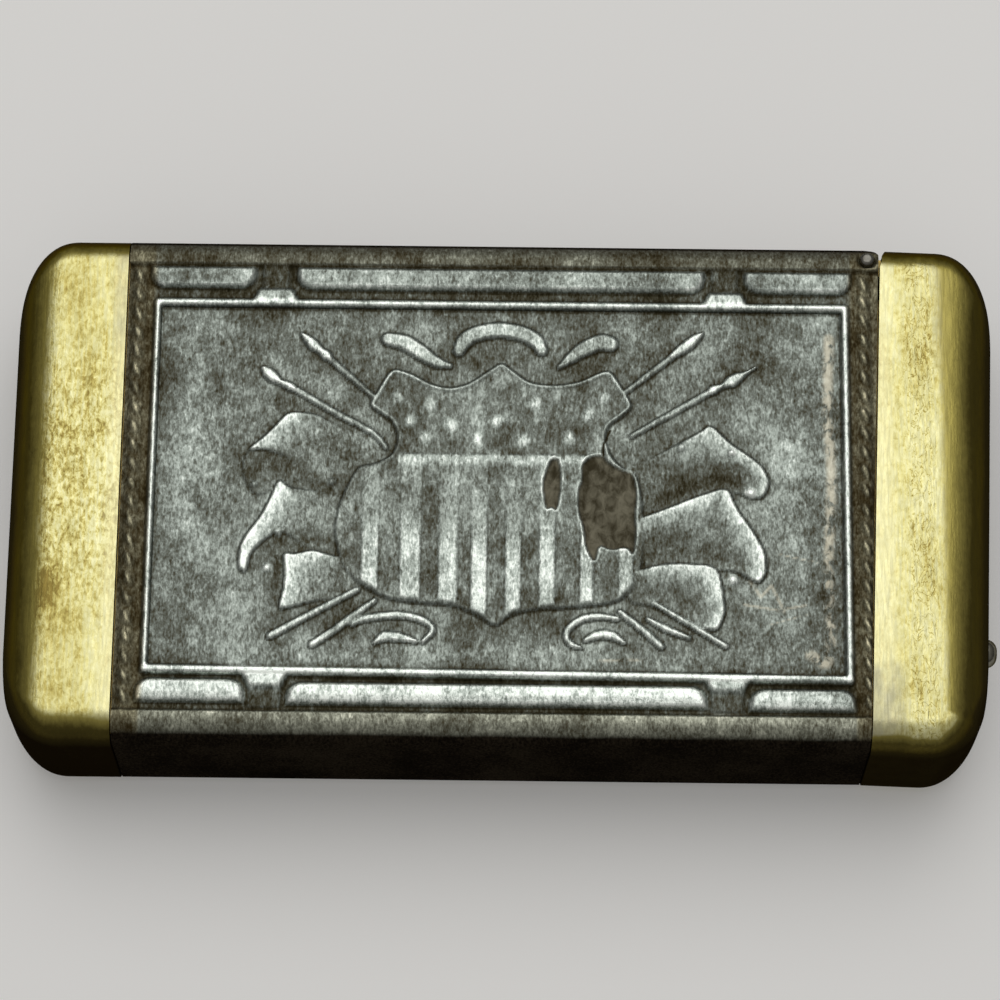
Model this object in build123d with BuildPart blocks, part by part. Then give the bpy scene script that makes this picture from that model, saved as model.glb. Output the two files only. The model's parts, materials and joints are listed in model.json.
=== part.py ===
# Pocket matchbox holder: a stamped metal case with brass caps and a sprung side swinging lid
from build123d import *
from math import asin, cos, pi, radians, sin
import os

os.makedirs("parts", exist_ok=True)

# Whole case, in millimetres. X runs along the case to the lid, Y to the hinge side, Z up
case_length = 73.0
case_width = 39.5
case_thickness = 12.7

# Brass caps
end_cap_length = 8.35
lid_length = 8.7
cap_wall = 0.8
side_round = 1.85
end_round = 3.6
plan_corner = 4.3
seam_gap = 0.1
round_steps = 6

# Stamped sleeve over the brass lining
sleeve_inset = 0.15
relief = 0.35
lining_wall = 0.35

# Stamped frame, pads and rope borders
pad_margin = 2.7
pad_depth = 1.9
pad_gap = 0.75
side_pad_length = 8.05
post_width = 3.0
post_bar = 1.5
pad_corner = 0.85
pad_edge = 0.3
frame_inset = 0.5
fillet_width = 0.45
band_margin = 1.7
rope_band = 1.8
rope_lay_length = 1.9
rope_lay_width = 0.5
rope_pitch = 1.49
rope_lean = 35.0
shield_width = 20.8
shield_height = 19.6
low_relief_share = 0.55
stripe_count = 7
stripe_width = 1.3
stripe_height = 9.8
stripe_drop = 3.3

# Hinge of the lid
pin_diameter = 0.9
pin_head_diameter = 1.15
pin_head_height = 0.4
pin_head_round = 0.35
pin_from_back = 1.35
pin_to_seam = 0.95
lid_skew = 1.8
ear_round = 0.95
ear_taper = 0.6
lid_ear_round = 1.1
lid_ear_turn = 15.0
lid_corner_reach = 1.5
running_fit = 0.03

# Knuckle that joins the lid to the pin
knuckle_round = 0.8
knuckle_end_gap = 0.55
knuckle_arm = 5.3
heel_length = 1.75
heel_gap = 0.12
notch_gap = 0.15

# Flat spring that throws the lid open
spring_thickness = 0.35
spring_height = 5.5
spring_length = 32.0
spring_seat_gap = 0.03
spring_rivet_diameter = 1.2
spring_rivet_head = 2.0
spring_rivet_head_height = 0.35
spring_rivet_pitch = 3.0
spring_rivet_inset = 1.8

# Collar that makes the neck of the case, which the lid closes over
neck_reach = 2.75
collar_length = 10.2
collar_wall = 0.5
collar_back_gap = 2.7

# Push button in the end of the lid
button_from_front = 9.35
button_diameter = 2.15
button_proud = 0.9
button_dome = 0.8
button_travel = 0.8
button_bore_gap = 0.05
button_flange_diameter = 2.9
button_flange = 0.45
button_flange_gap = 0.05
button_stem_diameter = 1.2
button_stem_inset = 2.6
guide_diameter = 4.2
guide_floor = 0.35

# Catch lever inside the lid
lever_thickness = 1.6
lever_pivot_inset = 3.05
lever_pivot_from_button = 5.9
lever_eye = 1.0
lever_arm = 0.6
lever_push_gap = 0.05
lever_tail_overhang = 0.8
lever_riser_reach = 0.3
hook_reach = 4.65
hook_tooth_length = 0.6
hook_tooth_height = 0.5
hook_wall_gap = 0.7
pivot_diameter = 0.9
pivot_head_diameter = 1.6
pivot_head = 0.35
pivot_end_gap = 0.1
shelf_thickness = 0.8
shelf_gap = 0.15
shelf_length = 4.9
shelf_reach = 1.2
shelf_overhang = 1.4

# Strike that the hook holds
keeper_length = 3.0
keeper_depth = 1.4
keeper_height = 5.0
keeper_channel_gap = 0.15
keeper_channel_depth = 0.55
keeper_pocket_depth = 0.5
keeper_rivet_diameter = 0.8
keeper_rivet_pitch = 3.4
keeper_rivet_inset = 0.9
hook_play = 0.3

# Inner plate of the lid and the leaf that returns the catch
lid_plate_reach = 4.35
lid_plate_thickness = 0.35
lid_plate_fit = 0.03
leaf_thickness = 0.25
leaf_height = 2.0
leaf_foot = 4.0
leaf_foot_from_button = 6.4
leaf_overlap = 0.4
leaf_tip_gap = 0.05
leaf_rivet_diameter = 0.9
leaf_rivet_head = 1.5
leaf_rivet_head_height = 0.3

# Striker let into the closed end
striker_length = 20.0
striker_height = 3.6
striker_depth = 0.45
striker_plate_thickness = 0.3
striker_rib = 0.4
striker_pitch = 0.8

# Places that follow from the sizes
mid_height = case_thickness / 2
half_length = case_length / 2
half_width = case_width / 2
sleeve_start = end_cap_length + seam_gap - half_length
sheet_top = case_thickness - sleeve_inset - relief
sheet_base = sleeve_inset + relief
lining_start = end_round - half_length
lining_width = case_width - 2 * cap_wall
lining_height = case_thickness - 2 * cap_wall
lining_round = side_round - cap_wall
bore_width = lining_width - 2 * lining_wall
bore_height = lining_height - 2 * lining_wall
bore_round = lining_round - lining_wall
pin_y = half_width - pin_from_back
pin_x = half_length - lid_length - pin_to_seam + pin_y * sin(radians(lid_skew))
lid_end = pin_to_seam + lid_length
button_from_pin = pin_y + half_width - button_from_front
body_end = pin_to_seam - seam_gap
lid_front_wall = cap_wall - half_width - pin_y
lid_back_wall = half_width - cap_wall - pin_y
knuckle_base = cap_wall + lining_wall + knuckle_end_gap
knuckle_height = case_thickness - 2 * knuckle_base
spring_tip = pin_x - knuckle_round - notch_gap
spring_face = bore_width / 2 - spring_seat_gap - spring_thickness
collar_front = -bore_width / 2
collar_back = pin_y - collar_back_gap
collar_width = collar_back - collar_front
collar_middle = (collar_back + collar_front) / 2
collar_end = pin_x + neck_reach
lever_base = mid_height - lever_thickness / 2
lever_push = lid_end - button_stem_inset - lever_push_gap
pivot_reach = lid_end - lever_pivot_inset
pivot_across = -button_from_pin - lever_pivot_from_button
hook_tip = pivot_reach - hook_reach
hook_across = lid_front_wall + hook_wall_gap
hook_face = hook_across + lever_arm
channel_height = lever_thickness + 2 * keeper_channel_gap
plate_face = lid_plate_reach + lid_plate_thickness
guide_length = guide_floor + button_travel + button_flange + 2 * button_flange_gap
guide_start = lid_end - cap_wall - guide_length
pad_row_edge = half_width - pad_margin
pad_row_length = -2 * (sleeve_start + band_margin)
frame_length = pad_row_length - 2 * frame_inset
frame_height = 2 * (pad_row_edge - pad_depth - pad_gap)
ground_width = 2 * (pad_row_edge + pad_edge)
stamp_rise = relief + sleeve_inset
pad_y = pad_row_edge - pad_depth / 2
pad_middle_length = pad_row_length - 2 * (side_pad_length + post_width)
side_pad_x = (pad_row_length - side_pad_length) / 2
post_x = (pad_middle_length + post_width) / 2
band_x = pad_row_length / 2 + rope_band / 2
lay_count = int(2 * pad_row_edge / rope_pitch)

# Outline of the shield, left half, as shares of its width and height
shield_left_shares = [(-0.36, 0.475), (-0.465, 0.325), (-0.375, 0.14), (-0.5, 0.02)]
shield_belly_shares = [(-0.5, -0.2), (-0.33, -0.39), (-0.07, -0.42), (0, -0.51)]

# The lid's own plane: its origin is on the pin axis, and it closes a little past square
lid_plane = Plane(
    origin=(pin_x, pin_y, 0),
    x_dir=(cos(radians(lid_skew)), -sin(radians(lid_skew)), 0),
    z_dir=(0, 0, 1),
)


def lid_place(reach, across, height):
    """A point of the lid, from the pin axis: along the case, across it and up."""
    return lid_plane.from_local_coords((reach, across, height))


def lid_section(reach, across=-pin_y):
    """The plane square to the lid at a reach from the pin, by default centred on its width."""
    return Plane(
        origin=lid_place(reach, across, mid_height),
        x_dir=lid_plane.y_dir,
        z_dir=lid_plane.x_dir,
    )


def case_section(x):
    """The plane square to the case at x, centred on its width and thickness."""
    return Plane(origin=(x, 0, mid_height), x_dir=(0, 1, 0), z_dir=(1, 0, 0))


def end_section(reach):
    """The plane square to the closed end, at a reach from the middle of the case."""
    return Plane(origin=(-reach, 0, mid_height), x_dir=(0, -1, 0), z_dir=(-1, 0, 0))


def cap_body(section, seam, end, inset, mode=Mode.ADD):
    """A cap's straight rim and its rounded closed end, or with an inset its hollow."""
    round_start = end - end_round
    with BuildSketch(section(seam)) as rim:
        RectangleRounded(case_width - 2 * inset, case_thickness - 2 * inset, side_round - inset)
    extrude(rim.sketch, amount=round_start - seam, mode=mode)
    slices = []
    for step in range(round_steps + 1):
        turn = pi / 2 * step / round_steps
        reach = round_start + (end_round - inset) * sin(turn)
        slice_width = case_width - 2 * plan_corner + 2 * (plan_corner - inset) * cos(turn)
        slice_height = case_thickness - 2 * end_round + 2 * (end_round - inset) * cos(turn)
        with BuildSketch(section(reach)) as slice_outline:
            RectangleRounded(slice_width, slice_height, side_round - inset)
        slices.append(slice_outline.sketch)
    loft(slices, mode=mode)


def mouth_cut():
    """Trim the case along the slanted seam of the lid and round its ears about the pin."""
    ear_turn = asin(body_end / ear_round)
    ear_foot = (body_end, ear_round * cos(ear_turn))
    ear_middle = (ear_round * sin(ear_turn / 2), ear_round * cos(ear_turn / 2))
    ear_top = (0, ear_round)
    with BuildSketch(lid_plane) as beyond:
        with BuildLine():
            ThreePointArc(ear_top, ear_middle, ear_foot)
            Polyline(
                ear_foot,
                (body_end, -case_width),
                (case_length, -case_width),
                (case_length, case_width),
                (-ear_taper, case_width),
                (-ear_taper, pin_from_back),
                ear_top,
            )
        make_face()
    extrude(beyond.sketch, amount=case_thickness, mode=Mode.SUBTRACT)


def hinge_cuts():
    """Drill the pin's hole and open the back wall where the knuckle swings out."""
    with BuildSketch(lid_plane) as pin_hole:
        Circle(pin_diameter / 2)
    extrude(pin_hole.sketch, amount=case_thickness, mode=Mode.SUBTRACT)
    with BuildSketch(Plane.XY.offset(knuckle_base - notch_gap)) as notch:
        with Locations((pin_x - knuckle_round - notch_gap, pin_y)):
            Rectangle(case_length, case_width, align=(Align.MIN, Align.MIN))
    extrude(notch.sketch, amount=knuckle_height + 2 * notch_gap, mode=Mode.SUBTRACT)


def stamp_face(base, rise):
    """Raise the frame, pads and stripes level with the caps, and the rest of the work lower."""
    with BuildSketch(Plane.XY.offset(base)) as raised_work:
        Rectangle(frame_length, frame_height)
        Rectangle(
            frame_length - 2 * fillet_width,
            frame_height - 2 * fillet_width,
            mode=Mode.SUBTRACT,
        )
        with Locations((0, pad_y), (0, -pad_y)):
            RectangleRounded(pad_middle_length, pad_depth, pad_corner)
        with GridLocations(2 * side_pad_x, 2 * pad_y, 2, 2):
            RectangleRounded(side_pad_length, pad_depth, pad_corner)
        with Locations((0, -stripe_drop)):
            with GridLocations(2 * stripe_width, 0, stripe_count, 1):
                Rectangle(stripe_width, stripe_height)
    extrude(raised_work.sketch, amount=rise)
    with BuildSketch(Plane.XY.offset(base)) as low_work:
        with GridLocations(2 * post_x, 2 * pad_y, 2, 2):
            Rectangle(post_bar, pad_depth + pad_gap)
        with GridLocations(2 * band_x, rope_pitch, 2, lay_count):
            SlotOverall(rope_lay_length, rope_lay_width, 90 + rope_lean)
    extrude(low_work.sketch, amount=rise * low_relief_share)
    with BuildSketch(Plane.XY.offset(base)) as shield:
        with BuildLine():
            left = [(x * shield_width, y * shield_height) for x, y in shield_left_shares]
            belly = [(x * shield_width, y * shield_height) for x, y in shield_belly_shares]
            Polyline((0, shield_height / 2), left[0], left[1])
            ThreePointArc(left[1], left[2], left[3])
            Spline(left[3], *belly)
            mirror(about=Plane.YZ)
        make_face()
    extrude(shield.sketch, amount=rise * low_relief_share)


# Stamped sleeve with its frame, pads, rope borders and shield on both faces
with BuildPart() as embossed_sleeve:
    with BuildSketch(case_section(sleeve_start)):
        RectangleRounded(
            case_width - 2 * sleeve_inset,
            case_thickness - 2 * sleeve_inset,
            side_round - sleeve_inset,
        )
    extrude(amount=half_length - sleeve_start)
    for ground in (sheet_top, sleeve_inset):
        with BuildSketch(Plane.XY.offset(ground)):
            Rectangle(case_length, ground_width)
        extrude(amount=relief, mode=Mode.SUBTRACT)
    stamp_face(sheet_top, stamp_rise)
    stamp_face(sheet_base, -stamp_rise)
    for seat in (sheet_top, 0):
        with BuildSketch(lid_plane.offset(seat)):
            Circle(pin_head_diameter / 2 + seam_gap)
        extrude(amount=sheet_base, mode=Mode.SUBTRACT)
    mouth_cut()
    with BuildSketch(case_section(sleeve_start)):
        RectangleRounded(lining_width, lining_height, lining_round)
    extrude(amount=case_length, mode=Mode.SUBTRACT)
    hinge_cuts()
embossed_sleeve.part.label = "embossed_sleeve"
export_step(embossed_sleeve.part, "parts/embossed_sleeve.step")


# Brass lining that holds the matches, closed at the fixed end
with BuildPart() as inner_case:
    with BuildSketch(case_section(lining_start)):
        RectangleRounded(lining_width, lining_height, lining_round)
    extrude(amount=half_length - lining_start)
    with BuildSketch(case_section(lining_start + lining_wall)):
        RectangleRounded(bore_width, bore_height, bore_round)
    extrude(amount=case_length, mode=Mode.SUBTRACT)
    mouth_cut()
    hinge_cuts()
    for rivet in range(2):
        rivet_x = spring_tip - spring_length + spring_rivet_inset + rivet * spring_rivet_pitch
        with BuildSketch(Plane.XZ.offset(-lining_width / 2)):
            with Locations((rivet_x, mid_height)):
                Circle(spring_rivet_diameter / 2)
        extrude(amount=lining_wall, mode=Mode.SUBTRACT)
inner_case.part.label = "inner_case"
export_step(inner_case.part, "parts/inner_case.step")


# Collar soldered in the mouth, which stands out as the neck under the lid
with BuildPart() as mouth_collar:
    with BuildSketch(case_section(collar_end - collar_length)):
        with Locations((collar_middle, 0)):
            RectangleRounded(collar_width, bore_height, bore_round)
            RectangleRounded(
                collar_width - 2 * collar_wall,
                bore_height - 2 * collar_wall,
                bore_round - collar_wall,
                mode=Mode.SUBTRACT,
            )
    extrude(amount=collar_length)
    with BuildSketch(Plane.XY.offset(mid_height - channel_height / 2)):
        with Locations((lid_place(hook_tip, hook_across, 0).X - hook_play, collar_front)):
            Rectangle(case_length, collar_wall, align=(Align.MIN, Align.MIN))
    extrude(amount=channel_height, mode=Mode.SUBTRACT)
    with BuildSketch(Plane.XZ.offset(-collar_front)):
        with Locations((collar_end - keeper_length + keeper_rivet_inset, mid_height)):
            with GridLocations(0, keeper_rivet_pitch, 1, 2):
                Circle(keeper_rivet_diameter / 2)
    extrude(amount=-collar_wall, mode=Mode.SUBTRACT)
mouth_collar.part.label = "mouth_collar"
export_step(mouth_collar.part, "parts/mouth_collar.step")


# Strike behind the collar's front wall, with the channel and pocket for the hook
with BuildPart() as catch_keeper:
    keeper_front = collar_front + collar_wall
    with BuildSketch(Plane.XY.offset(mid_height - keeper_height / 2)):
        with Locations((collar_end, keeper_front)):
            Rectangle(keeper_length, keeper_depth, align=(Align.MAX, Align.MIN))
    extrude(amount=keeper_height)
    with BuildSketch(Plane.XY.offset(mid_height - channel_height / 2)):
        with Locations((collar_end, keeper_front)):
            Rectangle(keeper_length, keeper_channel_depth, align=(Align.MAX, Align.MIN))
        pocket_start = lid_place(hook_tip, hook_across, 0).X - hook_play
        pocket_length = hook_tooth_length + 2 * hook_play
        with Locations((pocket_start, keeper_front + keeper_channel_depth)):
            Rectangle(pocket_length, keeper_pocket_depth, align=(Align.MIN, Align.MIN))
    extrude(amount=channel_height, mode=Mode.SUBTRACT)
    with BuildSketch(Plane.XZ.offset(-keeper_front)):
        with Locations((collar_end - keeper_length + keeper_rivet_inset, mid_height)):
            with GridLocations(0, keeper_rivet_pitch, 1, 2):
                Circle(keeper_rivet_diameter / 2)
    extrude(amount=-keeper_depth, mode=Mode.SUBTRACT)
catch_keeper.part.label = "catch_keeper"
export_step(catch_keeper.part, "parts/catch_keeper.step")


# Rivets that hold the strike to the collar
with BuildPart() as keeper_rivets:
    with BuildSketch(Plane.XZ.offset(-collar_front)):
        with Locations((collar_end - keeper_length + keeper_rivet_inset, mid_height)):
            with GridLocations(0, keeper_rivet_pitch, 1, 2):
                Circle(keeper_rivet_diameter / 2)
    extrude(amount=-(collar_wall + keeper_depth))
keeper_rivets.part.label = "keeper_rivets"
export_step(keeper_rivets.part, "parts/keeper_rivets.step")


# Brass cap soldered over the closed end, with a seat for the striker
with BuildPart() as end_cap:
    cap_body(end_section, half_length - end_cap_length, half_length, 0)
    cap_body(end_section, half_length - end_cap_length, half_length, cap_wall, Mode.SUBTRACT)
    with BuildSketch(end_section(half_length)):
        Rectangle(striker_length, striker_height)
    extrude(amount=-striker_depth, mode=Mode.SUBTRACT)
end_cap.part.label = "end_cap"
export_step(end_cap.part, "parts/end_cap.step")


# Serrated steel striker let into the end cap
with BuildPart() as striker_plate:
    with BuildSketch(end_section(half_length - striker_depth)):
        Rectangle(striker_length, striker_height)
    extrude(amount=striker_plate_thickness)
    with BuildSketch(end_section(half_length - striker_depth + striker_plate_thickness)):
        with GridLocations(striker_pitch, 0, int(striker_length / striker_pitch), 1):
            Rectangle(striker_rib, striker_height)
    extrude(amount=striker_depth - striker_plate_thickness)
striker_plate.part.label = "striker_plate"
export_step(striker_plate.part, "parts/striker_plate.step")


# Steel hinge pin, domed over the sleeve on both faces
with BuildPart() as hinge_pin:
    with BuildSketch(lid_plane.offset(sheet_base)):
        Circle(pin_diameter / 2)
    extrude(amount=sheet_top - sheet_base)
    for seat, rise in ((sheet_top, pin_head_height), (sheet_base, -pin_head_height)):
        with BuildSketch(lid_plane.offset(seat)):
            Circle(pin_head_diameter / 2)
        extrude(amount=rise)
    rims = hinge_pin.edges().filter_by(GeomType.CIRCLE).sort_by(Axis.Z)
    fillet([rims[0], rims[-1]], radius=pin_head_round)
hinge_pin.part.label = "hinge_pin"
export_step(hinge_pin.part, "parts/hinge_pin.step")


# Flat spring riveted inside the back wall, its tip on the knuckle's heel
with BuildPart() as lid_spring:
    with BuildSketch(Plane.XZ.offset(-spring_face)):
        with Locations((spring_tip, mid_height)):
            Rectangle(spring_length, spring_height, align=(Align.MAX, Align.CENTER))
        for rivet in range(2):
            rivet_x = spring_tip - spring_length + spring_rivet_inset
            with Locations((rivet_x + rivet * spring_rivet_pitch, mid_height)):
                Circle(spring_rivet_diameter / 2, mode=Mode.SUBTRACT)
    extrude(amount=-spring_thickness)
lid_spring.part.label = "lid_spring"
export_step(lid_spring.part, "parts/lid_spring.step")


# Rivets of the flat spring
with BuildPart() as spring_rivets:
    for rivet in range(2):
        rivet_x = spring_tip - spring_length + spring_rivet_inset + rivet * spring_rivet_pitch
        with BuildSketch(Plane.XZ.offset(-spring_face)):
            with Locations((rivet_x, mid_height)):
                Circle(spring_rivet_diameter / 2)
        extrude(amount=spring_face - lining_width / 2)
        with BuildSketch(Plane.XZ.offset(-spring_face)):
            with Locations((rivet_x, mid_height)):
                Circle(spring_rivet_head / 2)
        extrude(amount=spring_rivet_head_height)
spring_rivets.part.label = "spring_rivets"
export_step(spring_rivets.part, "parts/spring_rivets.step")


# Brass lid that swings sideways on the pin
with BuildPart() as lid_cap:
    cap_body(lid_section, pin_to_seam, lid_end, 0)
    cap_body(lid_section, pin_to_seam, lid_end, cap_wall, Mode.SUBTRACT)
    with BuildSketch(lid_plane):
        Circle(lid_ear_round)
        ear_edge = (
            lid_ear_round * cos(radians(lid_ear_turn)),
            lid_ear_round * sin(radians(lid_ear_turn)),
        )
        with BuildLine():
            Polyline(
                (0, 0),
                ear_edge,
                (lid_corner_reach, pin_from_back),
                (lid_corner_reach, case_width),
                (0, case_width),
                close=True,
            )
        make_face()
    extrude(amount=case_thickness, mode=Mode.SUBTRACT)
    with BuildSketch(lid_section(lid_end - cap_wall, -button_from_pin)):
        Circle(button_diameter / 2 + button_bore_gap)
    extrude(amount=cap_wall, mode=Mode.SUBTRACT)
lid_cap.part.label = "lid_cap"
export_step(lid_cap.part, "parts/lid_cap.step")


# Knuckle soldered in the lid's back corner, with the heel that the flat spring pushes
with BuildPart() as hinge_knuckle:
    with BuildSketch(lid_plane.offset(knuckle_base)):
        Circle(knuckle_round)
        heel_top = spring_face - pin_y - heel_gap
        with Locations((0, -knuckle_round)):
            Rectangle(heel_length, heel_top + knuckle_round, align=(Align.MAX, Align.MIN))
            Rectangle(knuckle_arm, lid_back_wall + knuckle_round, align=(Align.MIN, Align.MIN))
        Circle(pin_diameter / 2 + running_fit, mode=Mode.SUBTRACT)
    extrude(amount=knuckle_height)
hinge_knuckle.part.label = "hinge_knuckle"
export_step(hinge_knuckle.part, "parts/hinge_knuckle.step")


# Inner plate of the lid, which keeps the matches off the catch
with BuildPart() as lid_plate:
    with BuildSketch(lid_section(lid_plate_reach)):
        RectangleRounded(
            lining_width - 2 * lid_plate_fit,
            lining_height - 2 * lid_plate_fit,
            lining_round - lid_plate_fit,
        )
        with Locations((pin_y - knuckle_round - lid_plate_fit, 0)):
            Rectangle(
                case_width, case_thickness, align=(Align.MIN, Align.CENTER), mode=Mode.SUBTRACT
            )
        with Locations((pin_y + hook_face + hook_tooth_height + notch_gap, 0)):
            Rectangle(
                case_width,
                channel_height + 2 * notch_gap,
                align=(Align.MAX, Align.CENTER),
                mode=Mode.SUBTRACT,
            )
        with Locations((pin_y - button_from_pin + leaf_foot_from_button + leaf_foot / 2, 0)):
            Circle(leaf_rivet_diameter / 2, mode=Mode.SUBTRACT)
    extrude(amount=lid_plate_thickness)
lid_plate.part.label = "lid_plate"
export_step(lid_plate.part, "parts/lid_plate.step")


# Shelf on the inner plate that carries the catch lever
with BuildPart() as catch_shelf:
    shelf_base = lever_base - shelf_gap - shelf_thickness
    with BuildSketch(lid_plane.offset(shelf_base)):
        with Locations((plate_face, pivot_across - shelf_overhang)):
            Rectangle(
                pivot_reach + shelf_reach - plate_face,
                shelf_length,
                align=(Align.MIN, Align.MIN),
            )
        with Locations((pivot_reach, pivot_across)):
            Circle(pivot_diameter / 2, mode=Mode.SUBTRACT)
    extrude(amount=shelf_thickness)
catch_shelf.part.label = "catch_shelf"
export_step(catch_shelf.part, "parts/catch_shelf.step")


# Headed pivot of the catch lever, riveted in the shelf
with BuildPart() as catch_pivot:
    pivot_top = lever_base + lever_thickness + pivot_end_gap
    with BuildSketch(lid_plane.offset(shelf_base)):
        with Locations((pivot_reach, pivot_across)):
            Circle(pivot_diameter / 2)
    extrude(amount=pivot_top - shelf_base)
    with BuildSketch(lid_plane.offset(pivot_top)):
        with Locations((pivot_reach, pivot_across)):
            Circle(pivot_head_diameter / 2)
    extrude(amount=pivot_head)
catch_pivot.part.label = "catch_pivot"
export_step(catch_pivot.part, "parts/catch_pivot.step")


# Catch lever: the button pushes its tail, and its hook holds the strike
with BuildPart() as catch_lever:
    with BuildSketch(lid_plane.offset(lever_base)):
        tail_length = lever_pivot_from_button + lever_tail_overhang
        with Locations((pivot_reach, pivot_across)):
            Circle(lever_eye)
        with Locations((lever_push, pivot_across)):
            Rectangle(lever_arm, tail_length, align=(Align.MAX, Align.MIN))
        with Locations((pivot_reach - lever_eye, hook_across)):
            Rectangle(
                lever_eye + lever_riser_reach,
                pivot_across - hook_across,
                align=(Align.MIN, Align.MIN),
            )
        with Locations((hook_tip, hook_across)):
            Rectangle(hook_reach, lever_arm, align=(Align.MIN, Align.MIN))
        with BuildLine():
            Polyline(
                (hook_tip, hook_face),
                (hook_tip + hook_tooth_length, hook_face),
                (hook_tip + hook_tooth_length, hook_face + hook_tooth_height),
                (hook_tip + hook_tooth_length / 2, hook_face + hook_tooth_height),
                close=True,
            )
        make_face()
        with Locations((pivot_reach, pivot_across)):
            Circle(pivot_diameter / 2 + running_fit, mode=Mode.SUBTRACT)
    extrude(amount=lever_thickness)
catch_lever.part.label = "catch_lever"
export_step(catch_lever.part, "parts/catch_lever.step")


# Leaf that returns the lever and the button
with BuildPart() as catch_leaf:
    leaf_root = -button_from_pin + leaf_foot_from_button
    leaf_seat = plate_face + leaf_thickness / 2
    leaf_tip = (
        lever_push - lever_arm - leaf_tip_gap - leaf_thickness / 2,
        -button_from_pin + lever_tail_overhang - leaf_overlap,
    )
    with BuildSketch(lid_plane.offset(mid_height - leaf_height / 2)):
        with BuildLine():
            Polyline((leaf_seat, leaf_root + leaf_foot), (leaf_seat, leaf_root), leaf_tip)
        trace(line_width=leaf_thickness)
    extrude(amount=leaf_height)
    with BuildSketch(lid_section(plate_face, leaf_root + leaf_foot / 2)):
        Circle(leaf_rivet_diameter / 2)
    extrude(amount=leaf_thickness, mode=Mode.SUBTRACT)
catch_leaf.part.label = "catch_leaf"
export_step(catch_leaf.part, "parts/catch_leaf.step")


# Rivet of the return leaf
with BuildPart() as leaf_rivet:
    with BuildSketch(lid_section(lid_plate_reach, leaf_root + leaf_foot / 2)):
        Circle(leaf_rivet_diameter / 2)
    extrude(amount=lid_plate_thickness + leaf_thickness)
    with BuildSketch(lid_section(plate_face + leaf_thickness, leaf_root + leaf_foot / 2)):
        Circle(leaf_rivet_head / 2)
    extrude(amount=leaf_rivet_head_height)
leaf_rivet.part.label = "leaf_rivet"
export_step(leaf_rivet.part, "parts/leaf_rivet.step")


# Guide cup of the button, soldered behind the end wall
with BuildPart() as button_guide:
    with BuildSketch(lid_section(guide_start, -button_from_pin)):
        Circle(guide_diameter / 2)
        Circle(button_stem_diameter / 2 + button_bore_gap, mode=Mode.SUBTRACT)
    extrude(amount=guide_length)
    with BuildSketch(lid_section(guide_start + guide_floor, -button_from_pin)):
        Circle(button_flange_diameter / 2 + button_bore_gap)
    extrude(amount=guide_length, mode=Mode.SUBTRACT)
button_guide.part.label = "button_guide"
export_step(button_guide.part, "parts/button_guide.step")


# Domed push button with its flange and stem
with BuildPart() as push_button:
    flange_base = lid_end - cap_wall - button_flange_gap - button_flange
    with BuildSketch(lid_section(flange_base, -button_from_pin)):
        Circle(button_diameter / 2)
    extrude(amount=lid_end + button_proud - flange_base)
    fillet(push_button.edges().sort_by(Axis.X)[-1], radius=button_dome)
    with BuildSketch(lid_section(flange_base, -button_from_pin)):
        Circle(button_flange_diameter / 2)
    extrude(amount=button_flange)
    with BuildSketch(lid_section(lid_end - button_stem_inset, -button_from_pin)):
        Circle(button_stem_diameter / 2)
    extrude(amount=flange_base - lid_end + button_stem_inset)
push_button.part.label = "push_button"
export_step(push_button.part, "parts/push_button.step")
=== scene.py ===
"""Looks of the pocket match case: stamped plated sleeve, two brass caps, rivet and push button."""

import json
from functools import partial, reduce
from math import cos, pi, radians, sin, sqrt

import bmesh
import bpy
import numpy as np
from mathutils import Matrix, Vector


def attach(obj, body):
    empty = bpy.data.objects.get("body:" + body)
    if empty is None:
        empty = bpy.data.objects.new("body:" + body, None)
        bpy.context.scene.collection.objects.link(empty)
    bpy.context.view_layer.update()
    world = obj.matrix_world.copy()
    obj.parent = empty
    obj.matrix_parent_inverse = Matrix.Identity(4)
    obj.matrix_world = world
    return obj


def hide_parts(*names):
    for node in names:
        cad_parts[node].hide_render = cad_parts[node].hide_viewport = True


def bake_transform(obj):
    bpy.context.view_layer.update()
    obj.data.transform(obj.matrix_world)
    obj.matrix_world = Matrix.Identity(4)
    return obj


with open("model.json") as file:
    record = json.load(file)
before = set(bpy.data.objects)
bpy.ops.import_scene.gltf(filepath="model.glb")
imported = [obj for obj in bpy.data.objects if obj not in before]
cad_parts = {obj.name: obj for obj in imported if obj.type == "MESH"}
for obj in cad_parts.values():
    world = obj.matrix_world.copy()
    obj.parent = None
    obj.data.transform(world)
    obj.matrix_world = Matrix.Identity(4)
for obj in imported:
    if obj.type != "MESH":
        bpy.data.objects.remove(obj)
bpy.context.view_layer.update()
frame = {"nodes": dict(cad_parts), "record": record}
scene = bpy.context.scene

MM = 0.001

# Sizes of the case, in millimetres, as in the CAD model
HALF_LENGTH, HALF_WIDTH, THICK = 36.5, 19.75, 12.7
MID = THICK / 2
GROUND, STRIP = 12.2, 12.55
SLEEVE_START, SLEEVE_HALF, SLEEVE_ROUND, ROUND_LEVEL = -28.05, 19.6, 1.7, THICK - 1.85
FLAT_HALF = SLEEVE_HALF - SLEEVE_ROUND
LINING_HALF, LINING_TOP, LINING_ROUND = 18.95, 11.9, 1.05
PIN = (27.428, 18.4)
SKEW = radians(1.8)
MOUTH, EAR, EAR_END, EAR_TAPER = 0.85, 0.95, 1.35, 0.6
NOTCH_X = 26.478
CAP_WALL = 0.8
END_SEAM, STRIKER_SEAT, STRIKER_DEPTH = 28.15, (10, 1.8), 0.45
LID_END, LID_SEAM, LID_EAR = 9.65, 0.95, 1.1
# The lid's rim beyond the pin: from this place across, this reach, growing at this rate
LID_CUT = (0.2847, 1.0625, 0.4107)
BUTTON_ACROSS, BORE = -10.4, 1.125


# ---- meshes


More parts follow.
